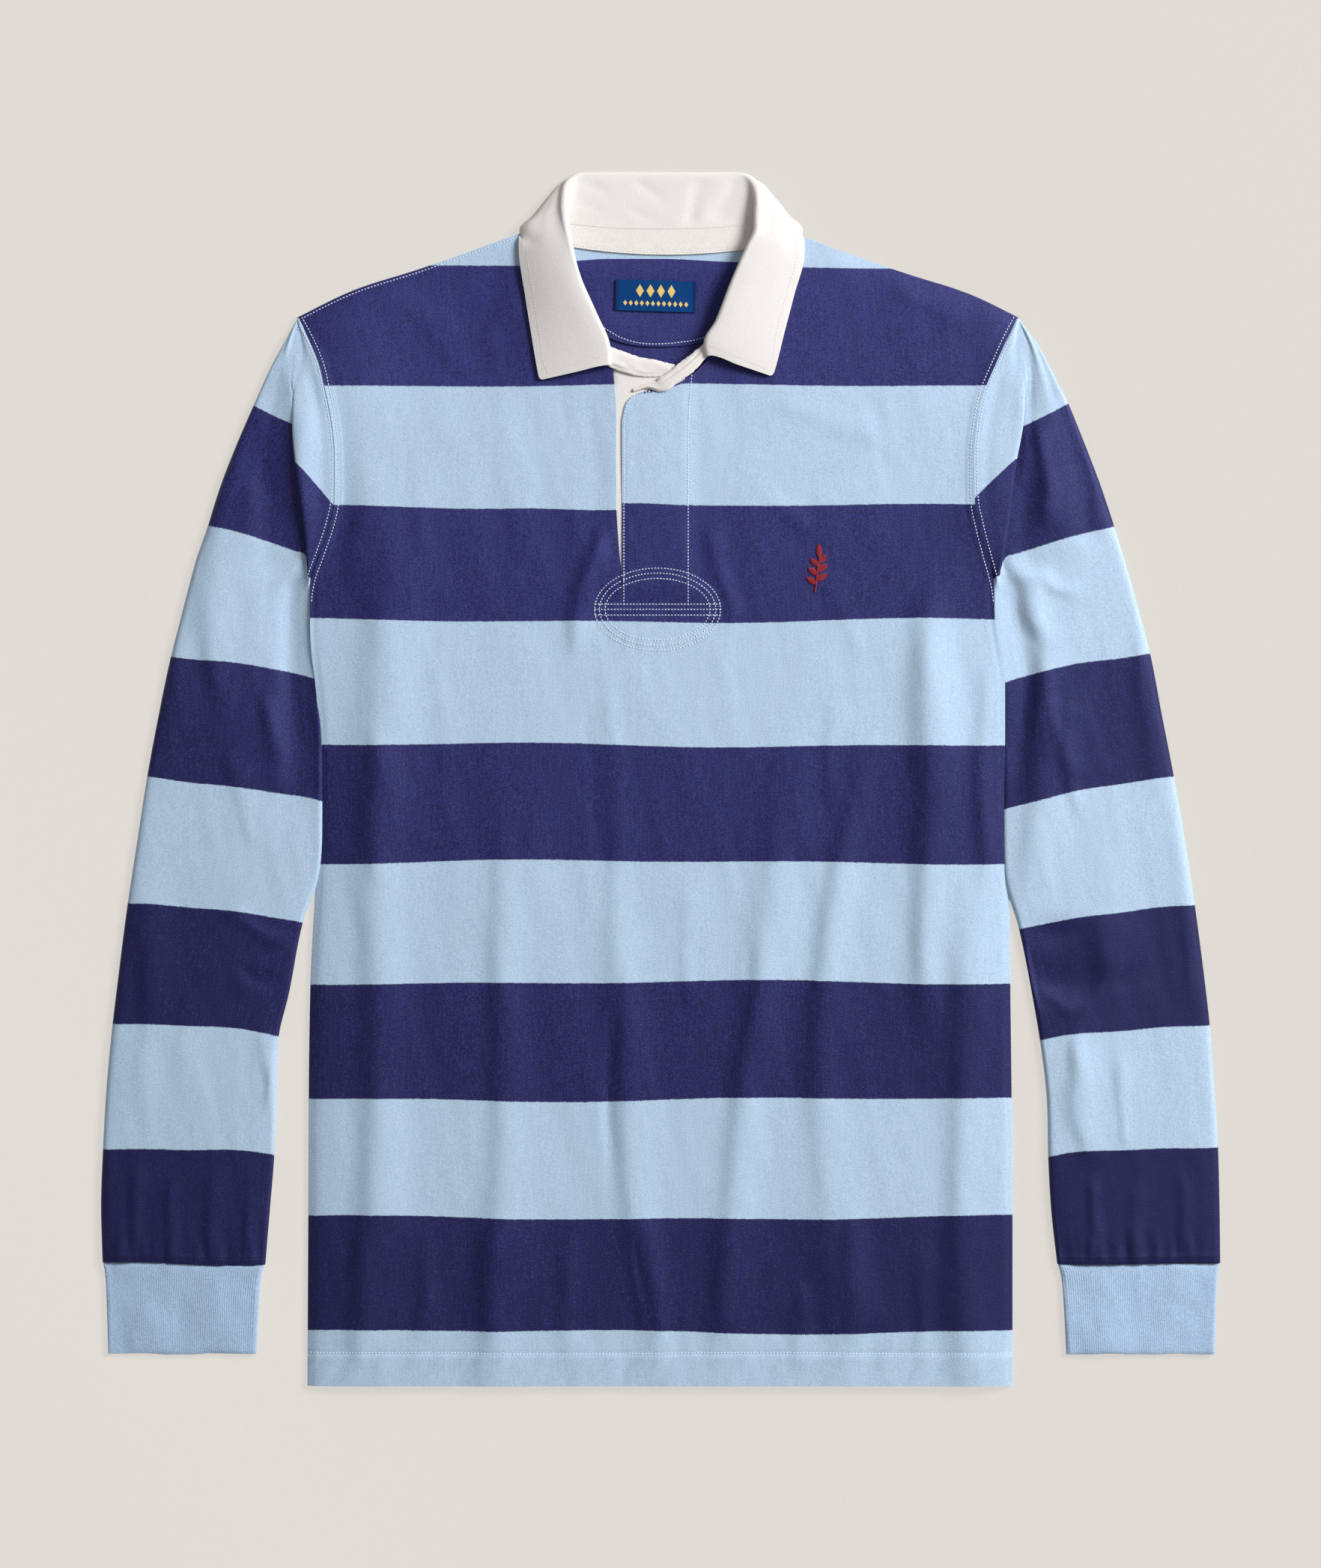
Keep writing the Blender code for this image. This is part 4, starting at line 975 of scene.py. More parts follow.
sleeve_right = sleeve("sleeve_right_cloth", HEAD_RIGHT, ARM_RIGHT, RIGHT_CREASES, -1)
sleeve_left = sleeve("sleeve_left_cloth", HEAD_LEFT, ARM_LEFT, LEFT_CREASES, 1)
for sleeve_cloth, node in ((sleeve_right, "sleeve_right"), (sleeve_left, "sleeve_left")):
    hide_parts(node)
    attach(sleeve_cloth, "root")


# ==== Cuffs ====
# Each cuff is a band of 1x1 rib in light blue, folded double at the hand and stretched onto the
# sleeve's end. Its ribs wander a little, and it draws in below the seam.
CUFF_TOP_Y = -324.6
CUFF_END_Y = -384.2
CUFF_WALL = 1.7
CUFF_HEIGHT = 4.3
CUFF_RIBS = 66
RIB_DEPTH = 0.2
CUFF_TURN = 0.045  # share of the cuff's length that is turned in over the sleeve's end
CUFFS = {  # side, inner and outer edge at the sleeve, then at the hand
    "right": (-1, (265.2, 372.6), (270.4, 369.4)),
    "left": (1, (265.2, 373.0), (270.8, 370.0)),
}


def rib_knit(name):
    """Light blue rib, whose ribs are in the mesh, with the fine unevenness of its yarn."""
    material, tree, shader = cloth_shader(name, 0.92, 0.12)
    fine = swung(tree, cloudy(tree, 800, 3.0), 2.2)
    finished(shader, blended(tree, fine, dye(154, 179, 209), dye(178, 202, 229)), fine, 0.1)
    return material


def cuff_ring(inner, outer, height, rib_depth, sway):
    """Points (out, z) round a flattened tube, from its inner edge over the top and back below."""
    radius = height / 2
    middle = CUFF_HEIGHT / 2
    turn = np.linspace(0, math.pi / 2, 5)[:-1]
    ring = [(inner + radius * (1 - math.sin(a)), middle - radius * math.cos(a)) for a in turn]
    ring += [(inner + radius * (1 - math.cos(a)), middle + radius * math.sin(a)) for a in turn]
    for n in range(4 * CUFF_RIBS + 1):
        share = n / (4 * CUFF_RIBS)
        out = lerp(inner + radius, outer - radius, share + sway * math.sin(math.pi * share))
        crest = abs(math.sin(math.pi * n / 4)) ** 0.7
        puff = 0.3 * math.sin(5.1 * share + 40 * sway) + 0.2 * math.sin(13 * share + 90 * sway)
        clear = 1.3 - 0.9 * share
        top = middle + radius + rib_depth * clear * (crest - 0.4)
        ring.append((out, top + puff * (rib_depth > 0)))
    ring += [(outer - radius * (1 - math.sin(a)), middle + radius * math.cos(a)) for a in turn[1:]]
    ring += [(outer - radius * (1 - math.cos(a)), middle - radius * math.sin(a)) for a in turn]
    for n in range(2 * CUFF_RIBS):
        out = lerp(outer - radius, inner + radius, n / (2 * CUFF_RIBS))
        ring.append((out, middle - radius + (n % 2) * 0.3 * rib_depth))
    return np.array(ring)


def cuff(name, side, at_sleeve, at_hand, material):
    """The ribbed outer skin and the plain inner one, joined at both ends."""
    skins = []
    at_sleeve, at_hand = np.array(at_sleeve), np.array(at_hand)
    for t in (-CUFF_TURN, -0.01, 0.015, 0.04, *np.linspace(0.07, 0.96, 20), 0.985, 0.996, 1.0):
        drawn_in = 0.55 * t + 0.45 * (1 - math.exp(-9 * max(t, 0)))
        inner, outer = lerp(at_sleeve, at_hand, drawn_in)
        pinched = 1.4 * (1 - ramp(t, -0.01, 0.05))
        height = CUFF_HEIGHT - pinched - 1.5 * max(0, (t - 0.96) / 0.04) ** 2
        sway = 0.006 * math.sin(7 * t + side) + 0.003 * math.sin(19 * t)
        ring = cuff_ring(inner, outer, height, RIB_DEPTH, sway)
        skins.append((lerp(CUFF_TOP_Y, CUFF_END_Y, t), ring))
    hollow = CUFF_HEIGHT - 2 * CUFF_WALL
    for t in (1.0, -CUFF_TURN):
        inner, outer = lerp(at_sleeve, at_hand, t)
        ring = cuff_ring(inner + CUFF_WALL, outer - CUFF_WALL, hollow, 0, 0)
        skins.append((lerp(CUFF_TOP_Y, CUFF_END_Y, t), ring))
    skins.append(skins[0])
    grid = np.array([[(side * out, y, z) for out, z in ring] for y, ring in skins])
    x, y = grid[..., 0].copy(), grid[..., 1].copy()
    upper = ramp(grid[..., 2], 0.6 * CUFF_HEIGHT, 0.95 * CUFF_HEIGHT)
    grid[..., 2] += upper * (1.1 * drift(x, y, 23, 26, 31) + 0.35 * drift(x, y, 8, 13, 32))
    grid[..., 1] += 0.4 * drift(x, y * 0, 15, 1, 33)
    grid = np.concatenate([grid, grid[:, :1]], axis=1)
    return tube(name, grid, material, flip=side < 0)


def tube(name, grid, material, flip=False):
    """A closed skin from a grid whose last row and column repeat the first."""
    rows, columns = grid.shape[0] - 1, grid.shape[1] - 1
    faces = []
    for i in range(rows):
        for j in range(columns):
            quad = [(i, j), (i + 1, j), (i + 1, j + 1), (i, j + 1)]
            face = [(a % rows) * columns + b % columns for a, b in quad]
            faces.append(face[::-1] if flip else face)
    mesh = bpy.data.meshes.new(name)
    mesh.from_pydata((grid[:-1, :-1].reshape(-1, 3) * MM).tolist(), [], faces)
    places = np.array([mesh.vertices[loop.vertex_index].co[:2] for loop in mesh.loops])
    mesh.uv_layers.new(name="Weave").data.foreach_set("uv", places.reshape(-1))
    mesh.materials.append(material)
    mesh.shade_smooth()
    return placed(name, mesh)


rib = rib_knit("Rib cuff")
for cuff_side, (side, at_sleeve, at_hand) in CUFFS.items():
    cuff_cloth = cuff(f"cuff_{cuff_side}_cloth", side, at_sleeve, at_hand, rib)
    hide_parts(f"cuff_{cuff_side}")
    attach(cuff_cloth, "root")


# ==== Collar ====
# Two layers of ecru cotton twill with a firm lining, turned and topstitched. The stand rises from
# the neck seam, rolls over and falls as a leaf with a point on each side of the placket.
# Sections from the middle of the back to the end of the collar: the top of its roll, the lean of
# the stand in degrees, its neck seam, the bend where the leaf folds under at the back, and the edge
# of the leaf.
COLLAR_TURN = "roll_out roll_y roll_z lean neck_out neck_y neck_z "
COLLAR_BACK = table(
    COLLAR_TURN + "bend_out bend_y bend_z bend edge_out edge_y edge_z",
    (0, 404.7, 2.4, 90, 0, 366.8, 6.1, 0, 385, 0.9, 0, 0, 354, 0.9),
    (26, 404.7, 2.4, 90, 26, 367.2, 6.1, 27, 385, 0.9, 0, 25, 353.6, 0.9),
    (47, 404.6, 2.8, 82, 46, 368.6, 6.1, 50, 386, 0.9, 0, 45, 352.8, 0.9),
    (58.5, 402.4, 5, 55, 58, 369.9, 6.1, 65, 397.8, 2.6, 1.6, 57, 351.4, 0.9),
    (63.8, 395, 9.5, 20, 64.5, 370.6, 6.1, 74.8, 388.4, 3.2, 2.2, 68, 349.8, 0.9),
    (64.4, 384, 13, -12, 69, 370.8, 6.1, 86, 374.8, 3.8, 2.8, 78, 348.8, 0.9),
    (63.2, 373, 14.6, -32, 71.6, 370.4, 6.1, 94, 366.6, 4.3, 3.3, 93.6, 363.6, 1.6),
)
COLLAR_FALL = COLLAR_TURN + "edge_out edge_y edge_z"
COLLAR_FRONT_RIGHT = table(
    COLLAR_FALL,
    (61.6, 364.4, 15.5, -48, 70.8, 365.4, 6.4, 94.7, 360.2, 6.6),
    (59.4, 354, 16, -60, 67.4, 355, 6.8, 94.6, 351.5, 7.8),
    (53.8, 333, 15.5, -72, 61, 333, 7.2, 90.4, 322, 7.8),
    (43.2, 309, 14, -78, 51.6, 308.5, 7.2, 86.6, 298, 7.8),
    (34.6, 288, 12.8, -82, 39.3, 288, 7.2, 82.8, 275, 7.8),
    (33.6, 275.6, 11.8, -85, 35.4, 279, 7.2, 81, 265.8, 7.8),
)
COLLAR_FRONT_LEFT = table(
    COLLAR_FALL,
    (62.4, 365, 15.5, -48, 70.8, 365.4, 6.4, 94.9, 360.2, 6.7),
    (58.4, 356.5, 15.4, -60, 67.2, 356, 6.8, 95.5, 351, 8),
    (46.8, 330.5, 14, -72, 57, 330.5, 7.2, 88.4, 322, 8.4),
    (36.8, 305, 12.7, -78, 45.2, 305, 7.2, 82.2, 298, 8.4),
    (29, 289.5, 11.4, -82, 36, 291, 7.2, 76.6, 275.5, 8.2),
    (30.2, 281.6, 10.2, -84, 33.2, 285.6, 7.2, 74.4, 268.2, 8.2),
)
# Soft folds where the stand gives way between its ends.
STAND_CREASES = table(
    CREASE_COLUMNS,
    (29.5, 413, 23, 388, 15, 362, 5.5, -0.9),
    (56, 410, 45, 390, 32, 368, 6, -0.8),
    (-68, 405, -50, 398, -32, 388, 4, -0.5),
    (-26, 408, -11, 395, 4, 382, 4, -0.5),
    (-26, 382, -14, 376, -2, 368, 3, -0.3),
    (-58, 384, -46, 381, -36, 375, 3, -0.3),
)
TWILL = 1.6
ROLL_RADIUS = 2.3
UP = np.array([0.0, 0.0, 1.0])
LEVEL = np.array([1.0, 1.0, 0.0])
COLLAR_STEPS = (7, 7, 5, 4, 4, 4, 4, 11, 10, 3, 3, 5, 5)
COLLAR_SPACING = 2.6
TABLE_CLEAR = 0.05  # between the collar's lowest folds and the table
EDGE_ROW = 5.2  # topstitching from the collar's edge
POINT_RADIUS = 2.6  # how far the collar's points are rounded


def spot(row, name):
    """A place in a row of a table."""
    return np.array([row[name + "_out"], row[name + "_y"], row[name + "_z"]])


def collar_turn(row, outward):
    """The stand and its roll. outward is level and at right angles to the roll line."""
    lean = math.radians(row["lean"])
    tip = math.cos(lean) * UP + math.sin(lean) * outward
    over = math.cos(lean) * outward - math.sin(lean) * UP
    centre = spot(row, "roll") - tip * ROLL_RADIUS
    half_turn = [(math.sin(a), math.cos(a)) for a in np.linspace(0, math.pi, 5)]
    turn = [centre + ROLL_RADIUS * (sine * tip - cosine * over) for sine, cosine in half_turn]
    return [lerp(spot(row, "neck"), turn[0], t) for t in (0, 0.35, 0.7)] + turn


def folded_leaf(row, start):
    """The leaf behind the neck, folded under on a slant over each shoulder."""
    bend, edge = spot(row, "bend"), spot(row, "edge")
    reach = row["bend"] if row["bend"] > 0 else 2.0
    lift = UP * row["bend"]
    level = LEVEL if row["bend"] > 0 else 1.0
    before = bend + unit((start - bend) * level) * reach + lift
    after = bend + unit((edge - bend) * level) * reach - lift
    return [lerp(start, before, 0.5) + UP * 0.5, before, bend, after, lerp(after, edge, 0.5), edge]


def falling_leaf(row, start):
    """The leaf on the front, nearly level beside the roll and lower towards its edge."""
    edge = spot(row, "edge")
    return [
        lerp(start, edge, t) * LEVEL + UP * lerp(start[2], edge[2], t**1.5)
        for t in (0.45, 0.86, 0.9, 0.94, 0.97, 1.0)
    ]


def collar_side(front_rows, side):
    """All sections of one side, from the middle of the back."""
    shapes, rows = [], []
    for columns, leaf_of in ((COLLAR_BACK, folded_leaf), (front_rows, falling_leaf)):
        rows += rows_of(columns)
        shapes += [leaf_of] * len(columns["lean"])
    rolls = np.array([spot(row, "roll")[:2] for row in rows])
    along = unit(np.gradient(rolls, axis=0))
    sections = []
    for row, leaf_of, (ahead_x, ahead_y) in zip(rows, shapes, along):
        turn = collar_turn(row, np.array([-ahead_y, ahead_x, 0.0]))
        sections.append(turn + leaf_of(row, turn[-1]))
    sections = np.array(sections)
    sections[..., 0] *= side
    return sections


def twill_cloth(name, light, dark):
    """Cotton twill: fine slanting ribs over a slightly slubby ground."""
    material, tree, shader = cloth_shader(name, 0.9, 0.1)
    ribs = waves(tree, calc(tree, "ADD", *woven_at(tree, (0.75, 0.75))))
    slub = cloudy(tree, 500, 3.0)
    shade = calc(tree, "MULTIPLY_ADD", ribs, 0.2, slub)
    finished(shader, blended(tree, shade, dark, light), slub, 0.09)
    return material


ecru = twill_cloth("Ecru twill", dye(231, 226, 223), dye(222, 217, 213))

collar_right, collar_left = collar_side(COLLAR_FRONT_RIGHT, -1), collar_side(COLLAR_FRONT_LEFT, 1)
collar_coarse = np.concatenate([collar_right[::-1], collar_left[1:]])
collar_grid, _, collar_at = refined(collar_coarse, COLLAR_SPACING, COLLAR_STEPS)
from_edge = travelled(collar_grid[:, ::-1], 1)[:, ::-1]
from_end = travelled(collar_grid, 0)
from_end = np.minimum(from_end, from_end[-1:] - from_end)
near_edge, near_end = (np.clip(1 - gone / POINT_RADIUS, 0, 1) for gone in (from_edge, from_end))
to_edge, to_end = unit(np.gradient(collar_grid, axis=1)), unit(np.gradient(collar_grid, axis=0))
to_end = to_end * np.where(np.arange(len(to_end)) < len(to_end) / 2, -1, 1)[:, None, None]
for towards, here, other in ((to_edge, near_edge, near_end), (to_end, near_end, near_edge)):
    collar_grid -= POINT_RADIUS * towards * (here * (1 - np.sqrt(1 - other**2 / 2)))[..., None]
leaf = ramp(collar_at, 6.5, 8)
stand = 1 - ramp(collar_at, 2.4, 3)
x, y = collar_grid[..., 0], collar_grid[..., 1]
dents = creased(STAND_CREASES, x, y) + 0.15 * np.sin(x / 13 + 1.2 * np.sin(y / 11))
at_front = ramp(360 - y, 0, 14)
collar_grid[..., 2] += leaf * at_front * 0.22 * np.sin(y / 15 + x / 40)
collar_grid[..., 2] += stand * dents * ramp(y, 367, 373) * (1 - ramp(y, 397, 403))
collar_grid[..., 2] = np.maximum(collar_grid[..., 2], TWILL / 2 + TABLE_CLEAR)
collar_weave = (travelled(collar_grid, 1), travelled(collar_grid, 0))
collar = cloth("collar_cloth", collar_grid, TWILL, ecru, weave=collar_weave, even=False)
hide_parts("collar")
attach(collar, "root")


# ==== Inside the back neck ====
# A half-moon of the striped jersey backs the neck, a herringbone tape covers the neck seam, and a
# small woven label is sewn down at its short sides. Its only marks are two rows of gold lozenges.
LAY_GAP = 0.6  # between layers that lie on each other
MOON_HALF = 65.0
MOON_LOW_Y = 288.7
MOON_TOP_Y = 365.8
MOON_CHANGE_Y = 347.1  # where the patch's own stripe ends
TAPE = 1.0  # thickness of the tape, and of the patch under it
TAPE_WIDTH = 17.0
TAPE_LOW_Y = 349.7
TAPE_SAG = 4.6  # how much lower the tape's middle lies than its ends
TAPE_HALF = 68.5
TAPE_ROW = 1.6  # topstitching from the tape's lower edge
LABEL_WALL = 0.7
LABEL_SIZE = (53.5, 20.5)
LABEL_END = 2.2  # darker cloth at each end, where it is turned under
LABEL_PUFF = 0.8
LABEL_CENTRE = (-3.6, 322.4)
LABEL_TURN = math.radians(-1.8)
LOZENGES = (  # pitch, half width, half height, height up the label, half of the row
    (7.0, 2.6, 4.3, 3.2, 14.0),
    (3.7, 1.35, 1.9, -5.1, 22.2),
)


def on_back(x, y, layers, thickness):
    """Height of the middle of a piece with layers of this thickness between it and the back."""
    return back_height(x, y) + JERSEY + LAY_GAP + layers + thickness / 2


def herringbone(name):
    """Ecru tape whose twill turns back and forth in narrow columns."""
    material, tree, shader = cloth_shader(name, 0.9, 0.1)
    across, along = woven_at(tree, (1.0, 1.0))
    zigzag = calc(tree, "PINGPONG", along, 3.4)
    ribs = waves(tree, calc(tree, "ADD", across, zigzag), 1.1)
    shade = calc(tree, "MULTIPLY_ADD", ribs, 0.35, cloudy(tree, 500))
    colour = blended(tree, shade, dye(231, 226, 220), dye(246, 242, 237))
    finished(shader, colour, calc(tree, "MULTIPLY_ADD", ribs, 0.5, 0.5), 0.16)
    return material


def label_weave(name):
    """Blue satin ribbon with plain gold lozenges: four large ones over twelve small ones."""
    material, tree, shader = cloth_shader(name, 0.55, 0.0)
    across, along = woven_at(tree, (1.0, 1.0))
    lean = math.tan(LABEL_TURN)
    right = calc(tree, "SUBTRACT", across, LABEL_CENTRE[0])
    level = calc(tree, "MULTIPLY_ADD", right, -lean, calc(tree, "SUBTRACT", along, LABEL_CENTRE[1]))
    marks = []
    for pitch, half_width, half_height, rise, half_row in LOZENGES:
        share = calc(tree, "FRACT", calc(tree, "DIVIDE", right, pitch))
        from_middle = calc(tree, "ABSOLUTE", calc(tree, "SUBTRACT", share, 0.5))
        wide = calc(tree, "MULTIPLY", from_middle, pitch / half_width)
        above = calc(tree, "SUBTRACT", level, rise)
        tall = calc(tree, "ABSOLUTE", calc(tree, "DIVIDE", above, half_height))
        mark = calc(tree, "LESS_THAN", calc(tree, "ADD", wide, tall), 1.0)
        inside = calc(tree, "LESS_THAN", calc(tree, "ABSOLUTE", right), half_row)
        marks.append(calc(tree, "MULTIPLY", mark, inside))
    gold = calc(tree, "MAXIMUM", *marks)
    ends = calc(tree, "GREATER_THAN", calc(tree, "ABSOLUTE", right), LABEL_SIZE[0] / 2 - LABEL_END)
    ground = blended(tree, calc(tree, "MULTIPLY", ends, 0.7), dye(2, 62, 122), dye(8, 40, 84))
    weft, warp = waves(tree, along, 0.45), waves(tree, across, 0.6)
    weave = calc(tree, "MULTIPLY_ADD", weft, 0.4, calc(tree, "MULTIPLY", warp, 0.2))
    bright = calc(tree, "MULTIPLY_ADD", weave, 0.5, 0.5)
    gilt = blended(tree, bright, dye(214, 176, 96), dye(252, 226, 140))
    colour = blended(tree, gold, ground, gilt)
    finished(shader, colour, calc(tree, "MULTIPLY_ADD", gold, 0.8, weave), 0.08)
    return material


def shares(across, up, columns, rows):
    """A net of places on a piece, as its share across and its share up."""
    return np.meshgrid(np.linspace(*across, columns), np.linspace(*up, rows))


def tape_low(x):
    """The lower edge of the neck tape."""
    return TAPE_LOW_Y + TAPE_SAG * ((x - 4) / 60) ** 2


right, up = shares((-1, 1), (0, 1), 61, 34)
x = MOON_HALF * np.sin(right * math.pi / 2 * 0.97)
low = (1 - np.abs(x / (MOON_HALF + 1)) ** 2.6) ** (1 / 2.6)
low = MOON_TOP_Y - (MOON_TOP_Y - MOON_LOW_Y) * low
y = lerp(low, MOON_TOP_Y, up)
moon_groove = -0.3 * bump(y - low - 1.8, 0.9) + 0.12 * np.sin(x / 9) * np.sin(y / 8)
moon_grid = np.stack([x, y, on_back(x, y, 0, TAPE) + moon_groove], axis=-1)
moon_change = MOON_CHANGE_Y - 1.4 * ramp(-x, 36, 62) - 2.2 * ramp(x, 0, 55)
moon_course = 1.0 - np.clip((y - moon_change) / 20, -0.45, 0.45)
neck_moon = cloth("neck_patch_cloth", moon_grid, TAPE, jersey, course=moon_course)
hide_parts("neck_patch")

right, up = shares((-1, 1), (0, 1), 81, 13)
x = TAPE_HALF * right
y = lerp(tape_low(x), back_top(x) + 1.2, up)
ripple = 0.12 * np.sin(x / 4.1 + np.sin(x / 15)) * bump(up, 0.25)
ripple = ripple - 0.25 * bump(up * TAPE_WIDTH - TAPE_ROW, 0.9)
tape_grid = np.stack([x, y, on_back(x, y, TAPE + LAY_GAP, TAPE) + ripple], axis=-1)
neck_tape = cloth("neck_tape_cloth", tape_grid, TAPE, herringbone("Herringbone tape"))
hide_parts("neck_tape")

right, up = shares((-0.5, 0.5), (-0.5, 0.5), 41, 17)
lean = math.sin(LABEL_TURN)
x = LABEL_CENTRE[0] + LABEL_SIZE[0] * right - LABEL_SIZE[1] * up * lean
y = LABEL_CENTRE[1] + LABEL_SIZE[1] * up + LABEL_SIZE[0] * right * lean
pillow = 0.5 * (1 - (2 * right) ** 8) * (1 - 0.6 * (2 * up) ** 4) * np.cos(right * 5)
label_grid = np.stack([x, y, on_back(x, y, TAPE + LAY_GAP, TAPE) + LABEL_PUFF * pillow], axis=-1)
label = cloth("label_cloth", label_grid, LABEL_WALL, label_weave("Woven label"))
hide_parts("label")
for piece in (neck_moon, neck_tape, label):
    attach(piece, "root")


# ==== Placket ====
# Ecru twill shows beside the overlap's edge. Above it the two ends of the neck band cross, and a
# rubber button under the upper one holds the neck.
UNDERLAY = 1.2
UNDERLAY_LOFT = 2.6
UNDERLAY_RISE = 3.1  # from under the panel's edge to the gap beside the overlap
UNDERLAY_EDGES = (-46.0, 16.0)
UNDERLAY_END_Y = 110.0
# Middle line and half width of each end of the neck band.
BANDS = {
    "neck_band_right": table(
        "x y z half",
        (-39, 284, 8.6, 5.2),
        (-32.6, 281, 8.8, 6),
        (-24.7, 277.9, 8.2, 6.2),
        (-16, 275.3, 7.6, 5.9),
        (-6, 274, 7.1, 5.5),
        (0.5, 273.6, 6.8, 4.4),
        (5, 273.9, 6.6, 3.1),
        (9.2, 275, 6.4, 0.9),
    ),
    "neck_band_left": table(
        "x y z half",
        (-18.6, 259.4, 7, 0.7),
        (-8.1, 262.2, 7.6, 1.6),
        (-2.6, 261.8, 8.6, 3),
        (2.4, 263.7, 9.4, 4.7),
        (7.5, 267.3, 9.6, 4.3),
        (13, 271.4, 9.6, 4.6),
        (17.8, 275, 9.5, 4.8),
        (22.8, 279.4, 9.4, 4.2),
        (28, 284.5, 9.2, 3.6),
        (33.5, 289.5, 9, 3.2),
    ),
}
BAND_WALL = 0.9 * TWILL
BAND_POINTS = (70, 27)  # along a band and across it

right, up = shares((0, 1), (0, 1), 25, 70)
x = lerp(*UNDERLAY_EDGES, right)
top = np.interp(x, (-46, -33, -10, 8, 16), (287, 280, 272, 268, 269.5))
y = lerp(UNDERLAY_END_Y, top, up)
soft = 0.12 * np.sin(y / 11 + x / 9)
underlay_grid = np.stack([x, y, UNDERLAY_LOFT + UNDERLAY_RISE * ramp(x, -36, -31) + soft], axis=-1)
underlay = cloth("placket_underlay_cloth", underlay_grid, UNDERLAY, ecru)
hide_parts("placket_underlay")
band_pieces = []
for band_name, band in BANDS.items():
    spine = np.stack([band["x"], band["y"], band["z"]], axis=-1)
    reach = travelled(spine, 0)
    at = np.linspace(0, reach[-1], BAND_POINTS[0])
    spine, half = smooth(reach, spine, at), smooth(reach, band["half"], at)
    along = unit(np.gradient(spine[:, :2], axis=0))
    across = np.stack([-along[:, 1], along[:, 0], np.zeros(len(along))], axis=-1)
    rows = []
    for step in np.linspace(-1, 1, BAND_POINTS[1]):
        frayed = half * step + 0.3 * step**3 * drift(at, 5 * step + at * 0, 1.6, 1, 31)
        puff = 0.3 - 0.8 * step**4 + 0.3 * drift(at, 9 * step + 0 * at, 7, 4, 32)
        if band_name == "neck_band_left":
            puff = puff - 0.75 * ramp(step, 0.05, 0.25) + 0.2 * bump(step - 0.7, 0.2)
        else:
            puff = puff - 0.25 * bump(step + 0.72, 0.1)
        rows.append(spine + across * frayed[:, None] + UP * puff[:, None])
    band_cloth = cloth(band_name + "_cloth", np.array(rows), BAND_WALL, ecru, even=False)
    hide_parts(band_name)
    band_pieces.append(band_cloth)
for piece in (underlay, *band_pieces):
    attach(piece, "root")


BUTTON_CENTRE = (-22.4, 273.8, 4.7)
BUTTON_RADIUS = 6.5
BUTTON_THICKNESS = 2.2
BUTTON_SIDES = 48
# Half a section of the button, from the middle of its face by its rim to the middle of its back.
BUTTON_PROFILE = table(
    "share rise",
    (0, 0.25),
    (0.45, 0.25),
    (0.62, 0.45),
    (0.8, 0.5),
    (0.93, 0.42),
    (1, 0.12),
    (1, -0.2),
    (0.92, -0.5),
    (0.5, -0.5),
    (0, -0.5),
)


def button_rubber(name):
    """Smooth off-white rubber with a faint grain."""
    material, tree, shader = cloth_shader(name, 0.45, 0.0)
    colour = blended(tree, cloudy(tree, 300), dye(236, 231, 224), dye(246, 242, 236))
    finished(shader, colour, cloudy(tree, 1500), 0.03)
    return material


def button_ring(share, rise):
    """The points of one turn of the button's profile."""
    x, y, z = BUTTON_CENTRE
    out, z = BUTTON_RADIUS * share, z + BUTTON_THICKNESS * rise
    turns = np.linspace(0, 2 * math.pi, BUTTON_SIDES + 1)[:-1]
    return [(x + out * math.cos(a), y + out * math.sin(a), z) for a in turns]


rings = np.array([button_ring(**row) for row in rows_of(BUTTON_PROFILE)])
points = np.concatenate([rings[1:-1].reshape(-1, 3), rings[:1, 0], rings[-1:, 0]])
last_ring = len(rings) - 3
faces = []
for i in range(last_ring):
    for j in range(BUTTON_SIDES):
        a, b = i * BUTTON_SIDES, (i + 1) * BUTTON_SIDES
        k = (j + 1) % BUTTON_SIDES
        faces.append([a + j, b + j, b + k, a + k])
for ring, centre in ((0, len(points) - 2), (last_ring, len(points) - 1)):
    for j in range(BUTTON_SIDES):
        start = ring * BUTTON_SIDES
        rim = [start + j, start + (j + 1) % BUTTON_SIDES, centre]
        faces.append(rim if ring == 0 else rim[::-1])
mesh = bpy.data.meshes.new("button_rubber")
mesh.from_pydata((points * MM).tolist(), [], faces)
mesh.materials.append(button_rubber("Button rubber"))
mesh.shade_smooth()
button = placed("button_rubber", mesh)
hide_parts("button")
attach(button, "root")


# ==== Chest embroidery ====
# A small leaf sprig in red satin stitch stands in a navy stripe on the wearer's left chest. Each
# leaf is a low dome of threads laid side by side.
SATIN_WALL = 0.35
SPRIG_FOOT = (103.6, 124.5)
SPRIG_LEAVES = table(  # the last is the stem
    "out up turn length width",
    (-0.2, 5.5, 146, 7.4, 3.8),
    (0.6, 8, 34, 7.4, 3.8),
    (0.7, 11.5, 142, 7.6, 4),
    (1.2, 14, 38, 7.4, 3.9),
    (1.3, 17.5, 138, 7, 3.8),
    (1.6, 20, 42, 6.8, 3.6),
    (1.8, 23.5, 92, 8.4, 4),
    (-0.9, 0, 83, 26, 1.3),
)


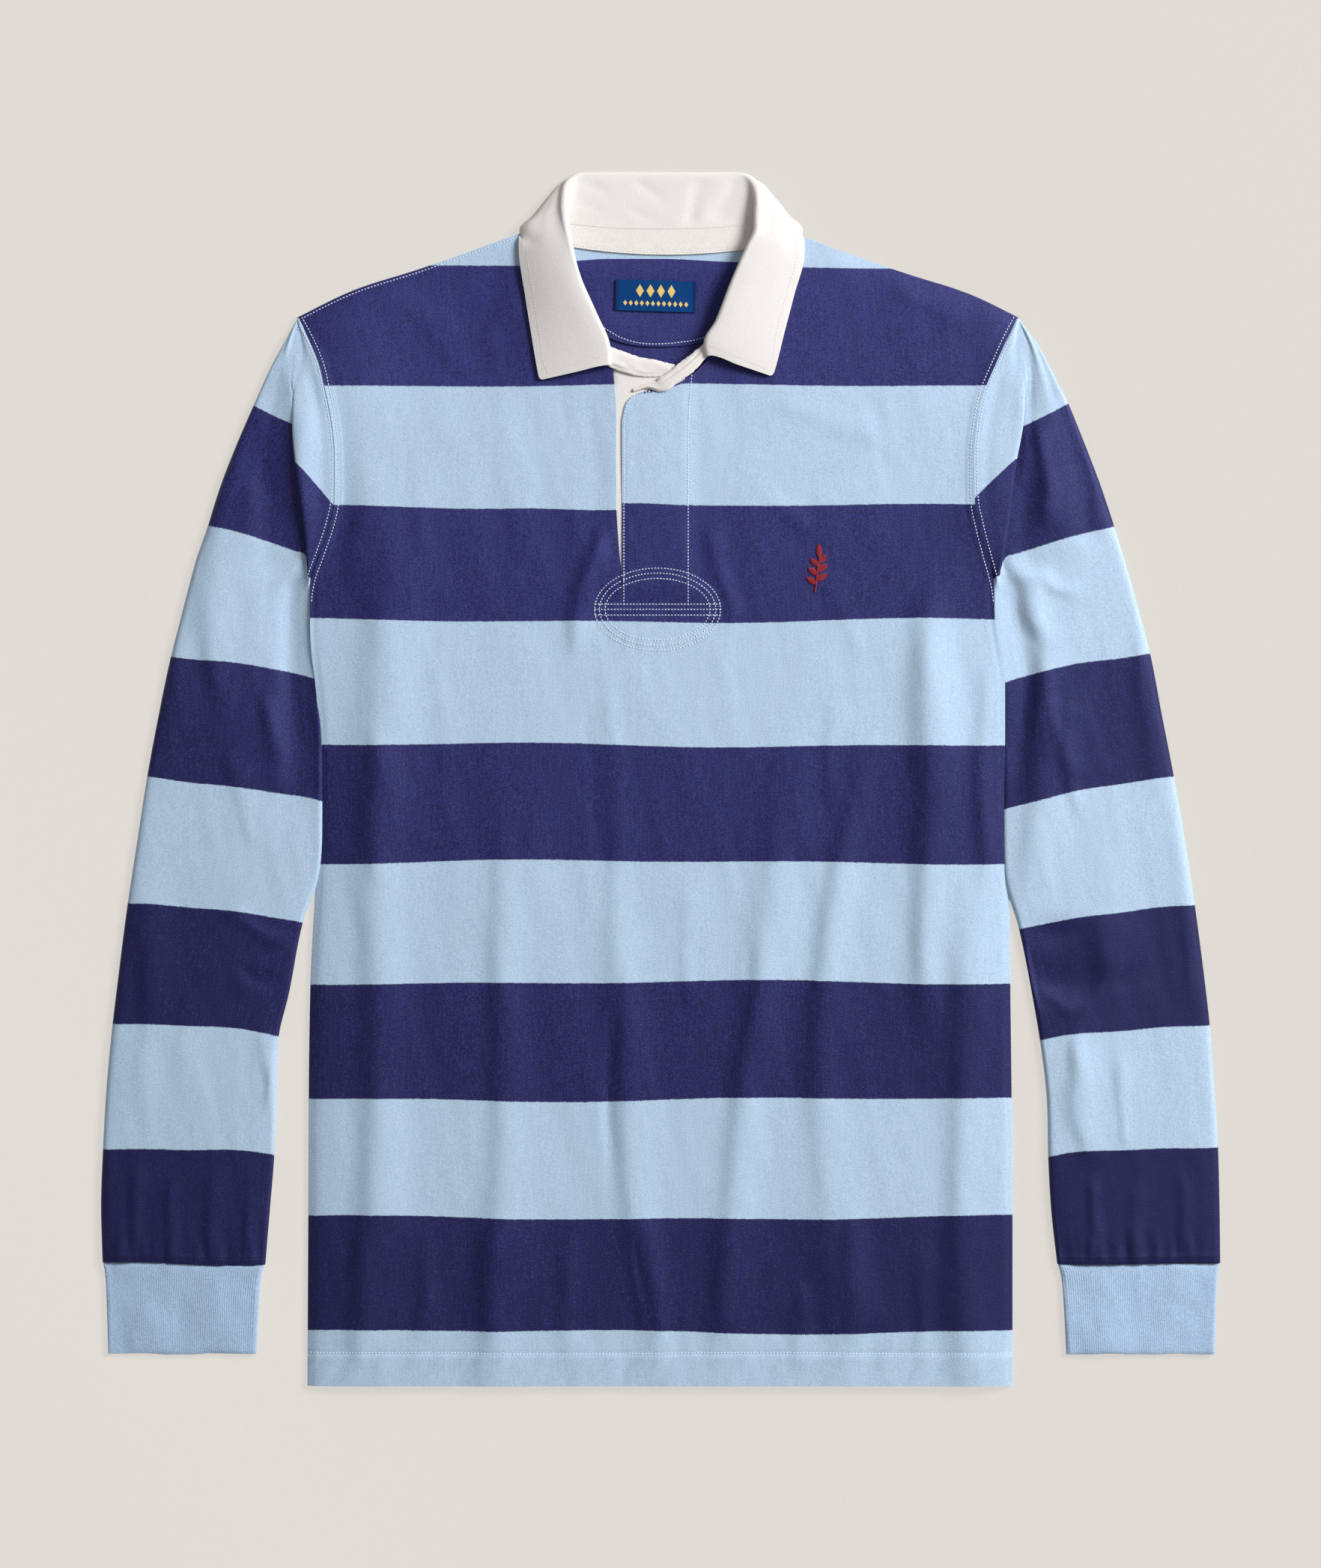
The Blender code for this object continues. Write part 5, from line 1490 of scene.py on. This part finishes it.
def surface_of(*cloths):
    """A function that gives the top of these cloths at (x, y) in mm, or None beside them."""
    trees = []
    for piece in cloths:
        mesh = piece.data
        points = [vertex.co.copy() for vertex in mesh.vertices]
        trees.append(BVHTree.FromPolygons(points, [tuple(face.vertices) for face in mesh.polygons]))

    def top(x, y):
        start = Vector((x * MM, y * MM, 0.1))
        hits = [tree.ray_cast(start, Vector((0, 0, -1)))[0] for tree in trees]
        return max((hit.z / MM for hit in hits if hit is not None), default=None)

    return top


def satin(name):
    """Threads side by side, each with its own round."""
    material, tree, shader = cloth_shader(name, 0.5, 0.2)
    across, _ = woven_at(tree, (0.42, 0.42))
    threads = waves(tree, across)
    shade = calc(tree, "MULTIPLY_ADD", threads, 0.3, cloudy(tree, 400))
    colour = blended(tree, shade, dye(120, 18, 36), dye(172, 38, 54))
    finished(shader, colour, calc(tree, "MULTIPLY_ADD", threads, 0.5, 0.5), 0.15)
    return material


def satin_leaf(out, up, turn, length, width):
    """Grid of one leaf, a pointed dome from its stalk on, with its threads slanting across."""
    t, s = np.meshgrid(np.linspace(0, 1, 13), np.linspace(-1, 1, 9), indexing="ij")
    half = width / 2 * np.sin(math.pi * (0.08 + 0.88 * t)) ** 0.8
    a = math.radians(turn)
    x = SPRIG_FOOT[0] + out + math.cos(a) * t * length - math.sin(a) * s * half
    y = SPRIG_FOOT[1] + up + math.sin(a) * t * length + math.cos(a) * s * half
    base = np.vectorize(on_front)(x, y)
    dome = 0.15 + 0.65 * np.sqrt(np.clip(1 - s * s, 0, 1))
    weave = (t * length + 0.6 * s * half, s * half)
    return np.stack([x, y, base + dome], axis=-1), weave


on_front = surface_of(front)
red = satin("Red satin stitch")
sprig_parts = []
for n, leaf in enumerate(rows_of(SPRIG_LEAVES)):
    grid, weave = satin_leaf(**leaf)
    sprig_parts.append(cloth(f"leaf_{n}", grid, SATIN_WALL, red, weave=weave, even=False))
bpy.ops.object.select_all(action="DESELECT")
for part in sprig_parts:
    part.select_set(True)
bpy.context.view_layer.objects.active = sprig_parts[0]
bpy.ops.object.join()
sprig = sprig_parts[0]
sprig.name = sprig.data.name = "chest_embroidery"
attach(sprig, "root")


# ==== Topstitching ====
# Lockstitch in pale blue thread holds the seams, placket and hem, navy thread the sleeves' ends and
# ecru thread the collar. Geometry Nodes lay one short stitch after another along each row.
STITCH_SIDES = (6, 5)  # segments and rings of one stitch
STITCH_STEP = 1.5  # spacing of the points of a seam's row, and of a row through corners
ROW_STEP = 1.2
SEAM_LIFT = 0.12  # height of a row over the cloth, for the seams and for the rest of the front
ROW_LIFT = 0.1


def stitch_tree():
    """Node group that turns rows of edges into stitches."""
    tree = bpy.data.node_groups.new("Stitches along rows", "GeometryNodeTree")
    face = tree.interface
    face.new_socket("Rows", in_out="INPUT", socket_type="NodeSocketGeometry")
    for title, size in (("Pitch", 0.0021), ("Length", 0.0016), ("Width", 0.0007), ("Rise", 0.0006)):
        face.new_socket(title, in_out="INPUT", socket_type="NodeSocketFloat").default_value = size
    face.new_socket("Seed", in_out="INPUT", socket_type="NodeSocketInt").default_value = 7
    face.new_socket("Thread", in_out="INPUT", socket_type="NodeSocketMaterial")
    face.new_socket("Stitches", in_out="OUTPUT", socket_type="NodeSocketGeometry")

    def add(kind, **settings):
        made = tree.nodes.new(kind)
        for key, value in settings.items():
            setattr(made, key, value)
        return made

    given = add("NodeGroupInput").outputs
    curve = add("GeometryNodeMeshToCurve")
    even = add("GeometryNodeResampleCurve", mode="LENGTH")
    aim = add("FunctionNodeAlignRotationToVector", axis="X")
    jitter = add("FunctionNodeRandomValue", data_type="FLOAT_VECTOR")
    turn = add("FunctionNodeRotateRotation", rotation_space="LOCAL")
    angles = add("FunctionNodeEulerToRotation")
    size = add("ShaderNodeCombineXYZ")
    vary = add("FunctionNodeRandomValue", data_type="FLOAT")
    scale = add("ShaderNodeVectorMath", operation="SCALE")
    stitch = add("GeometryNodeMeshUVSphere")
    place = add("GeometryNodeInstanceOnPoints")
    real = add("GeometryNodeRealizeInstances")
    shaded = add("GeometryNodeSetShadeSmooth")
    painted = add("GeometryNodeSetMaterial")
    result = add("NodeGroupOutput")
    for socket, value in (
        (stitch.inputs["Segments"], STITCH_SIDES[0]),
        (stitch.inputs["Rings"], STITCH_SIDES[1]),
        (stitch.inputs["Radius"], 0.5),
        (jitter.inputs["Min"], (-0.05, -0.04, -0.14)),
        (jitter.inputs["Max"], (0.05, 0.04, 0.14)),
        (vary.inputs[2], 0.9),
        (vary.inputs[3], 1.08),
    ):
        feed(socket, value)
    for source, target in (
        (given["Rows"], curve.inputs["Mesh"]),
        (curve.outputs["Curve"], even.inputs["Curve"]),
        (given["Pitch"], even.inputs["Length"]),
        (even.outputs["Curve"], place.inputs["Points"]),
        (add("GeometryNodeInputTangent").outputs[0], aim.inputs["Vector"]),
        (given["Seed"], jitter.inputs["Seed"]),
        (given["Seed"], vary.inputs["Seed"]),
        (jitter.outputs["Value"], angles.inputs["Euler"]),
        (aim.outputs[0], turn.inputs["Rotation"]),
        (angles.outputs[0], turn.inputs["Rotate By"]),
        (turn.outputs[0], place.inputs["Rotation"]),
        (given["Length"], size.inputs["X"]),
        (given["Width"], size.inputs["Y"]),
        (given["Rise"], size.inputs["Z"]),
        (size.outputs[0], scale.inputs[0]),
        (vary.outputs[1], scale.inputs["Scale"]),
        (scale.outputs[0], place.inputs["Scale"]),
        (stitch.outputs["Mesh"], place.inputs["Instance"]),
        (place.outputs[0], real.inputs[0]),
        (real.outputs[0], shaded.inputs["Geometry"]),
        (shaded.outputs[0], painted.inputs["Geometry"]),
        (given["Thread"], painted.inputs["Material"]),
        (painted.outputs[0], result.inputs["Stitches"]),
    ):
        tree.links.new(source, target)
    return tree


STITCHES = stitch_tree()


def sewn(name, rows, material, pitch, length, width, rise):
    """A piece of stitches along rows of points in mm."""
    points, edges = [], []
    for row in rows:
        start = len(points)
        points.extend(row)
        edges.extend((start + n, start + n + 1) for n in range(len(row) - 1))
    mesh = bpy.data.meshes.new(name)
    mesh.from_pydata([tuple(np.array(point) * MM) for point in points], edges, [])
    guide = placed(name + "_rows", mesh)
    maker = guide.modifiers.new("Stitches", "NODES")
    maker.node_group = STITCHES
    sizes = {"Pitch": pitch, "Length": length, "Width": width, "Rise": rise}
    given = {title: size * MM for title, size in sizes.items()}
    given["Thread"] = material
    for item in STITCHES.interface.items_tree:
        if item.item_type == "SOCKET" and item.in_out == "INPUT" and item.name in given:
            maker[item.identifier] = given[item.name]
    bpy.context.view_layer.update()
    graph = bpy.context.evaluated_depsgraph_get()
    plain = bpy.data.meshes.new_from_object(guide.evaluated_get(graph))
    bpy.data.objects.remove(guide)
    plain.name = name
    return placed(name, plain)


def row_through(corners):
    """Even points along the straight or curved line through the corners (x, y)."""
    corners = np.array(corners, float)
    reach = travelled(corners, 0)
    at = np.linspace(0, reach[-1], max(3, int(reach[-1] / ROW_STEP)))
    if len(corners) > 2:
        return smooth(reach, corners, at)
    return corners[0] + (corners[1] - corners[0]) * (at / reach[-1])[:, None]


def laid(path, top, lift):
    """The path (x, y) laid on a surface, as rows of (x, y, z), broken where there is no cloth."""
    rows, row = [], []
    for x, y in path:
        z = top(x, y)
        if z is None:
            rows.append(row)
            row = []
        else:
            row.append((x, y, z + lift))
    rows.append(row)
    return [row for row in rows if len(row) > 2]


def thread(name, dark, light):
    """Spun thread, with a little fuzz."""
    material, tree, shader = cloth_shader(name, 0.7, 0.1)
    colour = blended(tree, cloudy(tree, 1200), dark, light)
    finished(shader, colour, cloudy(tree, 3000), 0.06)
    return material


pale_thread = thread("Pale blue thread", dye(208, 220, 240), dye(228, 236, 249))
on_sleeves = surface_of(sleeve_right, sleeve_left)
long_rows, pale_rows = [], []
for side in (-1, 1):
    body_row = [
        armhole(y, side, -0.8 - 2.0 * ramp(y, ARMHOLE_END_Y - 18, ARMHOLE_END_Y + 4)) * (side, 1)
        for y in np.arange(ARMHOLE_END_Y - 15, TIP_Y, STITCH_STEP)
    ]
    sleeve_row = [
        armhole(y, side, 2.6 - 1.2 * ramp(y, 175, 205)) * (side, 1)
        for y in np.arange(ARMHOLE_END_Y, TIP_Y, STITCH_STEP)
    ]
    outs = np.arange(238.0, 76.0, -STITCH_STEP)
    shoulder_row = [(side * out, float(shoulder_y(out)) - 2.0) for out in outs]
    long_rows += laid(body_row, on_front, SEAM_LIFT) + laid(shoulder_row, on_front, SEAM_LIFT)
    long_rows += laid(sleeve_row, on_sleeves, SEAM_LIFT)
across = np.arange(-234.0, 233.0, STITCH_STEP)
hem_row = [(x, HEM_STITCH_Y + 0.5 * math.sin(x / 40)) for x in across]
long_rows += laid(hem_row, on_front, ROW_LIFT)
for corners in (  # beside the slit, round the overlap's corner, and the placket's other side
    [(-24.9, SLIT_END_Y), (-24.9, 180.0), (-24.7, 238.0)],
    [(-24.7, 238.0), (-23.2, 248.6), (-19.8, 254.0), (-15.0, 256.8), (-8.0, 258.4)],
    [(PLACKET_STITCH_X, SLIT_END_Y), (PLACKET_STITCH_X, 200.0), (18.6, 247.0), (20.4, 269.0)],
):
    pale_rows += laid(row_through(corners), on_front, ROW_LIFT)
middle_x, middle_y = PATCH_CENTRE
turns = np.linspace(0, 2 * math.pi, 150)
for wide, tall in PATCH_RINGS:
    ring = [(middle_x + wide * math.cos(a), middle_y + tall * math.sin(a)) for a in turns]
    pale_rows += laid(ring, on_front, ROW_LIFT)
for rise in PATCH_CROSS_ROWS:
    ends = [(middle_x + side * PATCH_CROSS_HALF, middle_y + rise) for side in (-1, 1)]
    pale_rows += laid(row_through(ends), on_front, SEAM_LIFT)
half_moon = [(-39.4, 302.0), (-26.4, 294.5), (-6.4, 290.5), (11.6, 291.5), (27.6, 294.5)]
half_moon = row_through([*half_moon, (36.0, 298.0)])
pale_rows += laid(half_moon, surface_of(neck_moon), ROW_LIFT)
pale = sewn(
    "pale_topstitching", pale_rows, pale_thread, pitch=2.1, length=1.5, width=0.85, rise=0.6
)
seam_sewing = sewn(
    "seam_topstitching", long_rows, pale_thread, pitch=2.2, length=1.55, width=0.8, rise=0.6
)

navy_thread = thread("Navy thread", dye(12, 12, 40), dye(24, 24, 60))
light_thread = thread("Light blue thread", dye(140, 166, 198), dye(156, 180, 210))
navy_rows, cuff_rows = [], []
on_cuffs = surface_of(*(bpy.data.objects[f"cuff_{cuff_side}_cloth"] for cuff_side in CUFFS))
for side, (_, at_sleeve, at_hand) in zip((-1, 1), CUFFS.values()):
    outs = np.arange(at_sleeve[0] + 3.0, at_sleeve[1] - 2.0, ROW_STEP)
    navy_rows += laid([(side * out, CUFF_SEAM_Y + WELT_Y) for out in outs], on_sleeves, 0.05)
    cuff_rows += laid([(side * out, CUFF_TOP_Y - 2.2) for out in outs], on_cuffs, -0.05)
navy_sewing = sewn(
    "navy_topstitching", navy_rows, navy_thread, pitch=2.2, length=1.5, width=0.8, rise=0.6
)
cuff_sewing = sewn(
    "cuff_stitching", cuff_rows, light_thread, pitch=1.65, length=0.9, width=0.5, rise=0.4
)

ecru_thread = thread("Ecru thread", dye(212, 206, 200), dye(226, 220, 215))
on_collar = surface_of(collar)
collar_rows = []
for side, sections in ((-1, COLLAR_FRONT_RIGHT), (1, COLLAR_FRONT_LEFT)):
    rows = rows_of(sections)
    inset = [(side * row["edge_out"] - side * EDGE_ROW, row["edge_y"]) for row in rows]
    inset[-1] = (inset[-1][0], inset[-1][1] + EDGE_ROW)
    roll_x, roll_y = side * rows[-1]["roll_out"], rows[-1]["roll_y"]
    end_row = [inset[-1], (roll_x + side * 3, roll_y + EDGE_ROW + 1.5)]
    for corners in (inset, end_row):
        collar_rows += laid(row_through(corners), on_collar, 0.0)
tape_row = [(x, tape_low(x) + TAPE_ROW) for x in np.arange(-58.0, 58.5, STITCH_STEP)]
collar_rows += laid(tape_row, surface_of(neck_tape), 0.05)
ecru_sewing = sewn(
    "ecru_topstitching", collar_rows, ecru_thread, pitch=2.2, length=1.5, width=0.5, rise=0.35
)
for piece, slot in (
    (pale, "striped_jersey"),
    (seam_sewing, "striped_jersey"),
    (navy_sewing, "striped_jersey"),
    (cuff_sewing, "rib_knit"),
    (ecru_sewing, "ecru_twill"),
):
    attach(piece, "root")


# ==== Table, light and camera ====
# The shirt lies on a plain warm-grey table top. One broad light comes in low from its wearer's
# left, over an even sky, and the camera looks straight down.
LIGHT_RISE = math.radians(36)
LIGHT_TURN = math.radians(30)
LIGHT_REACH = 4.0
FALL_OFF = 0.46  # how much brighter the table is lit for each metre towards the light
LIT_RANGE = (0.78, 1.3)
GLOW = 0.84  # share of the table's brightness that comes from within, as on a light table
TABLE_REACH = 8.0
TABLE_Z = -0.0003
SOFTBOX_WATTS = 205.0
SOFTBOX_SIZE = 1.5
SKY = 0.27
CAMERA_PLACE = (-0.0004, -0.0035, 2.913)
FOCAL_LENGTH = 100.0
SENSOR = 36.0

mesh = bpy.data.meshes.new("table_top")
corners = np.array([(-1, -1, 0), (1, -1, 0), (1, 1, 0), (-1, 1, 0)]) * TABLE_REACH
mesh.from_pydata((corners + (0, 0, TABLE_Z)).tolist(), [], [(0, 1, 2, 3)])
material = bpy.data.materials.new("Table top")
material.use_nodes = True
tree = material.node_tree
shader = tree.nodes["Principled BSDF"]
right, up, _ = split(tree, own_place(tree))
upwards = calc(tree, "MULTIPLY", up, FALL_OFF * math.sin(LIGHT_TURN))
ahead = calc(tree, "MULTIPLY_ADD", right, FALL_OFF * math.cos(LIGHT_TURN), upwards)
lit = calc(tree, "MAXIMUM", calc(tree, "ADD", ahead, 1.0), LIT_RANGE[0])
lit = calc(tree, "MINIMUM", lit, LIT_RANGE[1])
paper = blended(tree, cloudy(tree, 700), dye(221, 216, 210), dye(227, 222, 216))
shade = tree.nodes.new("ShaderNodeVectorMath")
shade.operation = "SCALE"
feed(shade.inputs[0], paper)
feed(shade.inputs["Scale"], calc(tree, "DIVIDE", 1.0 - GLOW, lit))
for title, value in (
    ("Roughness", 0.95),
    ("Specular IOR Level", 0.1),
    ("Base Color", shade.outputs[0]),
    ("Emission Color", paper),
    ("Emission Strength", GLOW),
):
    feed(shader.inputs[title], value)
mesh.materials.append(material)
table_top = placed("table_top", mesh)

softbox = bpy.data.lights.new("Softbox", "AREA")
softbox.energy = SOFTBOX_WATTS
softbox.size = SOFTBOX_SIZE
level = math.cos(LIGHT_RISE)
towards = Vector(
    (math.cos(LIGHT_TURN) * level, math.sin(LIGHT_TURN) * level, math.sin(LIGHT_RISE))
)
softbox_stand = placed("Softbox", softbox)
softbox_stand.location = towards * LIGHT_REACH
softbox_stand.rotation_euler = towards.to_track_quat("Z", "Y").to_euler()

world = bpy.data.worlds.new("Studio")
world.use_nodes = True
sky = world.node_tree.nodes["Background"]
feed(sky.inputs["Color"], (1.0, 1.0, 1.0, 1.0))
feed(sky.inputs["Strength"], SKY)
bpy.context.scene.world = world
bpy.context.scene.view_settings.view_transform = "Standard"

lens = bpy.data.cameras.new("Camera")
lens.lens = FOCAL_LENGTH
lens.sensor_width = SENSOR
camera = placed("Camera", lens)
camera.location = CAMERA_PLACE
bpy.context.scene.camera = camera
